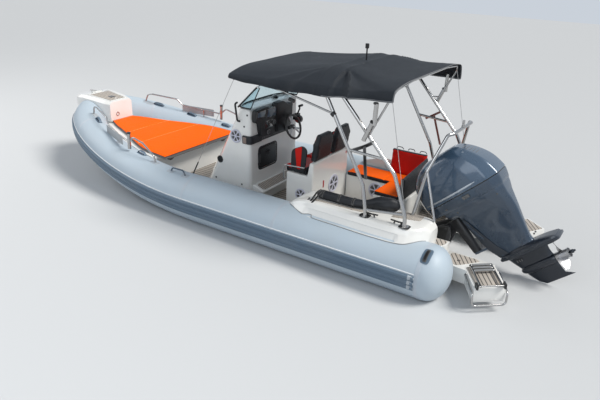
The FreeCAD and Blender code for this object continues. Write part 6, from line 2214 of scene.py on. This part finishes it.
@dataclass
class Motor:
    """Outboard motor drawn upright from its tilt pivot, then leant to its tilt at rest."""

    pivot: Point = (-3.060, 0.0, 0.385)
    tilt_deg: float = 42.0
    pan_top: float = 0.1694
    # height, half width, aft, fore
    cowl: tuple[tuple[float, ...], ...] = (
        (0.170, 0.252, -0.902, 0.060), (0.235, 0.272, -0.916, 0.078), (0.300, 0.285, -0.924, 0.089),
        (0.390, 0.284, -0.908, 0.089), (0.480, 0.280, -0.880, 0.084), (0.560, 0.268, -0.838, 0.066),
        (0.640, 0.246, -0.782, 0.026), (0.700, 0.222, -0.730, -0.040), (0.745, 0.195, -0.682, -0.112),
        (0.775, 0.160, -0.640, -0.175), (0.790, 0.125, -0.605, -0.228))
    casing: tuple[tuple[float, ...], ...] = (
        (-0.610, 0.074, -0.800, -0.345), (-0.560, 0.062, -0.786, -0.352), (-0.480, 0.060, -0.786, -0.330),
        (-0.290, 0.077, -0.822, -0.246), (-0.150, 0.096, -0.850, -0.203), (-0.040, 0.132, -0.864, -0.196),
        (0.050, 0.182, -0.872, -0.188), (0.085, 0.206, -0.880, -0.094), (0.125, 0.230, -0.888, -0.066),
        (0.1694, 0.246, -0.894, -0.060))
    outline: Outline = ((0.0, 0.46), (0.07, 0.80), (0.22, 1.0), (0.74, 1.0), (0.90, 0.86), (1.0, 0.52))
    plan: Outline = ((-0.332, 0.058), (-0.480, 0.118), (-0.760, 0.130), (-1.030, 0.134), (-1.086, 0.106))
    plan_middle: float = -0.70
    # height, fore, aft, half width
    strut: tuple[tuple[float, ...], ...] = (
        (-0.645, -0.385, -0.905, 0.050), (-0.690, -0.410, -0.885, 0.040), (-0.740, -0.435, -0.880, 0.036),
        (-0.790, -0.462, -0.885, 0.039), (-0.830, -0.482, -0.888, 0.045))
    skeg: tuple[tuple[float, ...], ...] = (
        (-0.800, -0.470, -0.890, 0.024), (-0.900, -0.505, -0.886, 0.015), (-0.960, -0.535, -0.886, 0.011),
        (-1.030, -0.575, -0.892, 0.0085), (-1.060, -0.610, -0.945, 0.007), (-1.083, -0.640, -0.983, 0.005))
    # radius and distance along the propeller shaft
    torpedo: Outline = ((0.002, 0.072), (0.018, 0.068), (0.032, 0.054), (0.044, 0.030), (0.052, 0.002),
                        (0.056, -0.03), (0.057, -0.16), (0.056, -0.30), (0.054, -0.352), (0.050, -0.359),
                        (0.0, -0.359))
    shaft: Outline = ((0.014, 0), (0.014, 0.180), (0.022, 0.184), (0.022, 0.200), (0.012, 0.212),
                      (0.012, 0.225))
    hub: Outline = ((0.030, 0.0), (0.052, 0.0), (0.054, 0.004), (0.052, 0.06), (0.051, 0.12),
                    (0.0565, 0.1495), (0.052, 0.1500), (0.045, 0.110), (0.022, 0.108), (0.021, 0.140),
                    (0.016, 0.142), (0.0145, 0.10), (0.0142, 0.0), (0.030, 0.0))
    shaft_z: float = -0.850
    blades: int = 3

    def lean(self) -> Matrix:
        """From the upright motor, measured from the pivot, to its place at rest."""
        return Matrix.Translation(Vector(self.pivot)) @ Matrix.Rotation(math.radians(self.tilt_deg), 4, "Y")

    def fitted(self, name: str, bm: BMesh, finishes: Sequence[Finish], body: Body = Body.OUTBOARD,
               angle: float = 40.0, bevel: float = 0.0) -> Object:
        """Leans a mesh to the tilt at rest and makes a piece of it."""
        bmesh.ops.transform(bm, matrix=self.lean(), verts=bm.verts)
        return finished(name, bm, finishes, body, angle, bevel=bevel)

    def ring(self, height: float, half: float, aft: float, fore: float, grow: float = 0.0,
             soft: float = 0.024) -> Ring:
        """A level section of the cowl or casing with rounded corners."""
        half, aft, fore = half + grow, aft - grow, fore + grow
        length = fore - aft
        port = [(fore - share * length, wide * half) for share, wide in self.outline]
        return [Vector((x, y, height)) for x, y in rounded_outline(mirrored(port), min(soft, half * 0.6), 5)]

    def build(self) -> None:
        """Builds the whole motor."""
        self.build_cowl()
        self.build_casing()
        self.build_gearcase()
        self.build_propeller()
        self.build_brackets()
        LOG.info("motor")

    def build_cowl(self) -> None:
        """Cowl with its seam, lower band and domed top."""
        bm = bmesh.new()
        heights = frange(self.pan_top + 0.001, 0.290, 8)
        rows = [self.ring(h, *spline(self.cowl, h), grow=-0.003 if h < 0.175 else 0.0) for h in heights]
        skin(bm, rows, caps=False, material=1)
        groove = [self.ring(h, *spline(self.cowl, h), grow=g) for h, g in
                  ((0.290, 0.0), (0.2925, -0.006), (0.2985, -0.006), (0.301, 0.0015))]
        skin(bm, groove, caps=False, material=2)
        heights = frange(0.301, 0.745, 34) + frange(0.745, 0.790, 8)[1:]
        rows = [self.ring(h, *spline(self.cowl, h), grow=0.0015) for h in heights]
        skin(bm, rows, caps=False)
        last = rows[-1]
        middle = sum(last, Vector()) / len(last)
        dome = [last] + [[Vector((middle.x + (p.x - middle.x) * k, p.y * k, 0.790 + lift)) for p in last]
                         for k, lift in ((0.88, 0.0028), (0.70, 0.0046), (0.45, 0.0056), (0.2, 0.006),
                                         (0.04, 0.006))]
        skin(bm, dome, caps=False)
        bm.faces.new([bm.verts.new(p) for p in dome[-1]])
        height = self.pan_top + 0.001
        floor = self.ring(height, *spline(self.cowl, height), grow=-0.003)
        bm.faces.new([bm.verts.new(p) for p in floor[::-1]])
        cowl = self.fitted("cowl_shell", bm, [COWL_PAINT, LEG_PAINT, GLOSS_BLACK], angle=32)
        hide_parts("motor_cowl")
        self.build_cowl_trim()

    def half_width(self, table: Sequence[Sequence[float]], x: float, height: float) -> float:
        """Half width of the cowl or casing at a place along it and a height."""
        half, aft, fore = spline(table, height)
        return half * spline(self.outline, (fore - x) / (fore - aft))[0]

    def side_point(self, x: float, height: float, side: float, lift: float) -> Vector:
        """A point over the cowl's side."""
        return Vector((x, side * (self.half_width(self.cowl, x, height) + lift), height))

    def raised_strip(self, bm: BMesh, rows: Sequence[tuple[float, float, float]], low: float,
                     high: float) -> None:
        """Raised strips over both sides of the cowl, from rows of place, lower height and upper height."""
        for s in (1, -1):
            skin(bm,
                 [[self.side_point(x, h, s, lift)
                   for h, lift in ((h0, low), (h0, high), (h1, high), (h1, low))] for x, h0, h1 in rows])

    def build_cowl_trim(self) -> None:
        """Light accent lines, latches and dark air intakes."""
        bm = bmesh.new()
        line = []
        for x in frange(-0.700, -0.020, 30):
            t = (x + 0.700) / 0.680
            h = 0.345 - 0.006 * math.sin(math.pi * t)
            w = 0.0095 * (0.35 + 0.65 * smoothstep(t / 0.12)) * (1 - 0.5 * smoothstep((t - 0.8) / 0.2))
            line.append((x, h - w, h + w))
        self.raised_strip(bm, line, 0.0, 0.0035)
        self.fitted("cowl_accent", bm, [COWL_ACCENT])
        bm = bmesh.new()
        self.raised_strip(bm,
                          ((-0.30, 0.735, 0.742), (-0.20, 0.660, 0.715), (-0.10, 0.560, 0.672),
                           (-0.03, 0.470, 0.600), (0.02, 0.420, 0.500)), 0.001, 0.004)
        for s in (1, -1):
            for x0, x1, h0, h1 in ((-0.560, -0.470, 0.222, 0.262), (-0.235, -0.205, 0.205, 0.222)):
                skin(bm, [[self.side_point(x, h, s, d) for x, h in ((x0, h0), (x1, h0), (x1, h1), (x0, h1))]
                          for d in (-0.002, 0.004)])
        for k in range(5):
            h = 0.60 + 0.030 * k
            aft = spline(self.cowl, h)[1]
            box_mesh((aft - 0.002, -0.085, h - 0.006), (aft + 0.02, 0.085, h + 0.006), bm)
        self.fitted("cowl_intakes", bm, [GLOSS_BLACK], bevel=0.002)

    def build_casing(self) -> None:
        """The leg, flaring up to the pan, with its dark cover and bolts."""
        bm = bmesh.new()
        heights = frange(-0.610, 0.1690, 44)
        rows = [self.ring(h, *spline(self.casing, h), soft=0.018) for h in heights]
        skin(bm, rows)
        disc(bm, (-0.130, 0, -0.45), (0, 0, 1), ((0.024, 0), (0.024, 0.53)), 24)
        for low, high, back in ((-0.446, -0.422, 0.370), (0.040, 0.064, 0.220)):
            box_mesh((-back, -0.034, low), (-0.096, 0.034, high), bm)
        leg = self.fitted("leg_casing", bm, [LEG_PAINT], angle=32)
        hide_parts("motor_casing")
        bm = bmesh.new()
        for s in (1, -1):
            rings = []
            for h, x0, x1 in ((-0.600, -0.50, -0.345), (-0.45, -0.40, -0.262), (-0.25, -0.335, -0.222),
                              (-0.08, -0.29, -0.212), (0.02, -0.265, -0.205)):
                y0, y1 = (self.half_width(self.casing, x, h) for x in (x0, x1))
                corners = ((x0, y0), (x0, y0 + 0.004), (x1, y1 + 0.004), (x1, y1))
                rings.append([Vector((x, s * y, h)) for x, y in corners])
            skin(bm, rings)
        self.fitted("leg_covers", bm, [NAVY_PAINT_AND_PAINTED_REFLECTION])
        bm = bmesh.new()
        for s in (1, -1):
            for x, h in ((-0.84, -0.50), (-0.80, 0.10), (-0.30, 0.12)):
                wide = self.half_width(self.casing, x, h)
                bolt = ((0.011, 0), (0.011, 0.004), (0.006, 0.005), (0.0, 0.003))
                disc(bm, (x, s * (wide - 0.002), h), (0, s, 0), bolt, 16)
        self.fitted("leg_bolts", bm, [GLOSS_BLACK])

    @staticmethod
    def lens(height: float, fore: float, aft: float, half: float, tail: float = 0.004) -> Ring:
        """A streamlined level section."""
        length = fore - aft
        port = []
        for share in frange(0, 1, 13):
            wide = half * (2.6 * math.sqrt(share) - 2.2 * share + 0.2 * share ** 2) if share < 1 else 0
            port.append((fore - share * length, max(tail if share > 0.1 else 0.0005, wide)))
        return [Vector((x, y, height)) for x, y in mirrored(port)]

    def build_gearcase(self) -> None:
        """Plate, strut, torpedo with its nose, skeg, water intakes and bolts."""
        bm = bmesh.new()
        top, low = -0.6106, -0.650
        outline = rounded_outline(mirrored(self.plan), 0.018, 3)
        lower = ((low, 0.93), (low + 0.006, 0.985), (low + 0.014, 1.0), (top - 0.006, 1.0), (top, 0.97))
        upper = ((-0.612, 0.96), (-0.590, 0.93), (-0.584, 0.88), (-0.570, 0.70), (-0.560, 0.50))

        def level(height: float, size: float) -> Ring:
            """The plate's outline at a height, smaller towards its middle."""
            return [Vector((lerp(self.plan_middle, x, size), y * size, height)) for x, y in outline]

        skin(bm, [level(*row) for row in lower])
        skin(bm, [self.lens(*row) for row in self.strut])
        skin(bm, [self.lens(*row, tail=0.002) for row in self.skeg])
        disc(bm, (-0.535, 0, self.shaft_z), (1, 0, 0), self.torpedo, 40)
        disc(bm, (-0.890, 0, self.shaft_z), (-1, 0, 0), self.shaft, 20)
        skin(bm, [level(*row) for row in upper])
        # The gearcase's darker navy is partly painted reflection: the lower leg is painted darker than the
        # casing for the dark that it reflects.
        leg = self.fitted("gearcase_shell", bm, [NAVY_PAINT_AND_PAINTED_REFLECTION], angle=30)
        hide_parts("motor_gearcase")
        bm = bmesh.new()
        for s in (1, -1):
            for k in range(3):
                box_mesh((-0.560 + 0.028 * k, s * 0.030 - 0.006, -0.730),
                         (-0.545 + 0.028 * k, s * 0.036 + 0.006, -0.700), bm)
        self.fitted("gearcase_intakes", bm, [GLOSS_BLACK], angle=35, bevel=0.002)
        bm = bmesh.new()
        for s in (1, -1):
            for k in range(4):
                disc(bm, (-0.45 - 0.13 * k, s * (0.108 + 0.004 * k), top - 0.001), (0, 0, 1),
                     ((0.008, 0), (0.008, 0.004), (0.0, 0.005)), 6)
        self.fitted("gearcase_bolts", bm, [STAINLESS])

    def build_propeller(self) -> None:
        """Three twisted blades on a barrel hub."""
        bm = bmesh.new()
        disc(bm, (-0.901, 0, self.shaft_z), (-1, 0, 0), self.hub, 40)
        for index in range(self.blades):
            rings = []
            for k in range(15):
                t = k / 14
                r = lerp(0.044, 0.186, t)
                chord = 0.115 * (0.62 + 0.75 * math.sin(math.pi * min(1, t * 0.86 + 0.08)) - 0.15 * t)
                chord *= math.sqrt(max(0.02, 1 - max(0.0, (t - 0.72) / 0.285) ** 2.4))
                pitch = math.atan2(0.068, r)
                skew = 0.035 * t * t
                thick = lerp(0.0055, 0.0018, t)
                ring = []
                for a in circle(14):
                    u, v = math.cos(a) * chord / 2, math.sin(a) * thick
                    axial = -0.962 - u * math.sin(pitch) * 0.95 + v * math.cos(pitch)
                    axial -= 0.006 * math.cos(a) ** 2
                    around = u * math.cos(pitch) + v * math.sin(pitch) + skew
                    angle = around / r + 2 * math.pi * index / self.blades
                    ring.append(Vector((axial, math.sin(angle) * r, self.shaft_z + math.cos(angle) * r)))
                rings.append(ring)
            skin(bm, rings)
        screw = self.fitted("propeller_blades", bm, [PROP_STEEL], Body.SCREW)
        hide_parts("propeller")

    def build_brackets(self) -> None:
        """Swivel and clamp brackets with the trim cylinders."""
        rounded_node("motor_swivel", BRACKET_BLACK, 0.005, Body.TILT, segments=2)
        rounded_node("motor_clamp", BRACKET_BLACK, 0.005, segments=2)
        bm = bmesh.new()
        for s in (1, -1):
            bar(bm, [(-3.02, s * 0.045, 0.05), (-3.035, s * 0.040, 0.26)], 0.020, 16)
        finished("trim_cylinders", bm, [BRACKET_BLACK], angle=45)


@dataclass
class BowRails:
    """Plain boards on the bow rails, and pads under the rails' feet."""

    board: tuple[tuple[float, float, float], ...] = ((2.080, 0.790, 0.880), (1.530, 0.972, 0.842))
    board_height: float = 0.122
    feet: tuple[tuple[float, float], ...] = ((2.700, 105.0), (2.650, 108.0), (1.700, 92.0), (0.880, 91.0),
                                             (0.850, 92.0), (0.500, 82.0), (0.230, 80.0))

    def build(self) -> None:
        """Builds boards and pads."""
        tubes = Tubes()
        bm, pads = bmesh.new(), bmesh.new()
        for side in Side:
            self.build_board(bm, side)
            for x, angle in self.feet:
                tubes.patch(pads, x, angle, 0.115, 0.085, side, 0.004)
        finished("rail_boards", bm, [BOARD_GREY], angle=30)
        finished("rail_foot_pads", pads, [RUBBER_TIP], angle=50)
        LOG.info("bow rails")

    def build_board(self, bm: BMesh, side: Side) -> None:
        """A plain board outside one rail."""
        start, end = (Vector((x, side.value * y, z)) for x, y, z in self.board)
        along = (end - start).normalized()
        out = Vector((-along.y, along.x, 0)).normalized()
        out = out if out.y * side.value > 0 else -out
        plate(bm, rounded_box(0, -self.board_height, (end - start).length, 0, 0.012), lambda a, b,
              depth: start + along * a + Vector((0, 0, 1)) * b + out * (depth + 0.014), 0.0, 0.004, 0.001)


@dataclass
class Studio:
    """Pale floor and soft lamps, and the camera at the photograph's angle."""

    camera_at: Point = (-5.041, 6.386, 3.426)
    heading_deg: float = -57.02
    down_deg: float = 23.26
    roll_deg: float = 1.72
    lens: float = 35.41
    sensor: float = 36.0
    floor_size: float = 60.0
    floor_color: Rgb = (0.56, 0.575, 0.59)
    aim: Point = (-0.6, 0, 0.6)
    # name, kind, place, size, power, colour
    lamps: tuple[tuple, ...] = (
        ("key", "SUN", (-7.8, -2.2, 9.4), 0.40, 3.2, (1.0, 0.97, 0.92)),
        ("fill", "AREA", (-3.0, 9.5, 6.0), 7.0, 260.0, (0.90, 0.95, 1.0)),
        ("bow", "AREA", (9.0, 3.5, 6.5), 6.0, 260.0, (1.0, 0.98, 0.95)))

    def build(self) -> None:
        """Builds floor, lamps, world and camera."""
        self.build_floor()
        self.build_lamps()
        self.build_world()
        self.build_camera()
        bpy.context.scene.view_settings.view_transform = "Standard"

    def build_floor(self) -> None:
        """A large plane at the waterline that looks pale to the camera and in reflections."""
        bm = bmesh.new()
        bmesh.ops.create_grid(bm, x_segments=1, y_segments=1, size=self.floor_size / 2)
        floor = loose_object("floor", bm)
        material = bpy.data.materials.new("Studio floor")
        material.use_nodes = True
        n = Nodes(material.node_tree)
        shader = n.add("ShaderNodeBsdfPrincipled", Base_Color=(*self.floor_color, 1), Roughness=0.9)
        n.add("ShaderNodeOutputMaterial", Surface=shader.outputs[0])
        floor.data.materials.append(material)

    def build_lamps(self) -> None:
        """A soft sun from high aft to starboard, and broad fills by the camera and past the bow."""
        for name, kind, place, size, power, color in self.lamps:
            light = bpy.data.lights.new(name, kind)
            if kind == "SUN":
                light.angle = size
            else:
                light.size = size
            light.energy = power
            light.color = color
            lamp = bpy.data.objects.new(name, light)
            lamp.location = place
            lamp.rotation_euler = (Vector(self.aim) - Vector(place)).to_track_quat("-Z", "Y").to_euler()
            bpy.context.collection.objects.link(lamp)

    def build_world(self) -> None:
        """A pale sky: brighter to the camera and in reflections than it lights."""
        world = bpy.data.worlds.new("Studio")
        bpy.context.scene.world = world
        world.use_nodes = True
        n = Nodes(world.node_tree)
        path = n.add("ShaderNodeLightPath")
        seen = n.math("MAXIMUM", path.outputs["Is Camera Ray"], path.outputs["Is Glossy Ray"])
        seen = n.math("MAXIMUM", seen, path.outputs["Is Transmission Ray"])
        strength = n.math("ADD", 0.36, n.math("MULTIPLY", seen, 0.34))
        background = n.add("ShaderNodeBackground", Color=(0.84, 0.91, 1.0, 1), Strength=strength)
        n.add("ShaderNodeOutputWorld", Surface=background.outputs[0])

    def build_camera(self) -> None:
        """The camera of the photograph."""
        az, el, roll = (math.radians(v) for v in (self.heading_deg, self.down_deg, self.roll_deg))
        ahead = Vector((math.cos(az) * math.cos(el), math.sin(az) * math.cos(el), -math.sin(el)))
        right = ahead.cross(Vector((0, 0, 1))).normalized()
        up = right.cross(ahead)
        turned_right = right * math.cos(roll) + up * math.sin(roll)
        turned_up = up * math.cos(roll) - right * math.sin(roll)
        data = bpy.data.cameras.new("camera")
        data.lens = self.lens
        data.sensor_width = self.sensor
        data.clip_end = 200
        camera = bpy.data.objects.new("camera", data)
        turn = Matrix((turned_right, turned_up, -ahead)).transposed().to_4x4()
        camera.matrix_world = Matrix.Translation(Vector(self.camera_at)) @ turn
        bpy.context.collection.objects.link(camera)
        bpy.context.scene.camera = camera


REPAINTED: dict[str, Finish] = {
    "arch_port": STAINLESS, "arch_starboard": STAINLESS, "canopy_bow_front": STAINLESS,
    "canopy_bow_rear": STAINLESS, "canopy_stays": STAINLESS, "tow_mast": STAINLESS, "rod_holders": STAINLESS,
    "bow_rail_port": STAINLESS, "bow_rail_starboard": STAINLESS, "grab_handles": HANDLE_RUBBER,
    "boarding_ladder": STAINLESS, "ladder_guard": STAINLESS, "seat_rails": STAINLESS, "bow_eye": STAINLESS,
    "ladder_brackets": BLACK_PLASTIC, "mast_light": BLACK_PLASTIC, "steering_column": BLACK_PLASTIC,
    "motor_powerhead": ENGINE_GREY,
}
ASSEMBLIES = (Tubes, HullAndDeck, BowStep, Console, Speakers, Helm, LeaningPost, Bench, Coamings, Canopy,
              Platforms, Motor, BowRails)
FRAME: dict = {}


def main() -> None:
    """Loads the frame and builds every sub-assembly in order."""
    logging.basicConfig(level=logging.INFO, format="%(name)s: %(message)s")
    FRAME.update(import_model())
    for assembly in ASSEMBLIES:
        assembly().build()
    for node, finish in REPAINTED.items():
        repaint(node, finish)
    Studio().build()


if __name__ == "__main__":
    main()
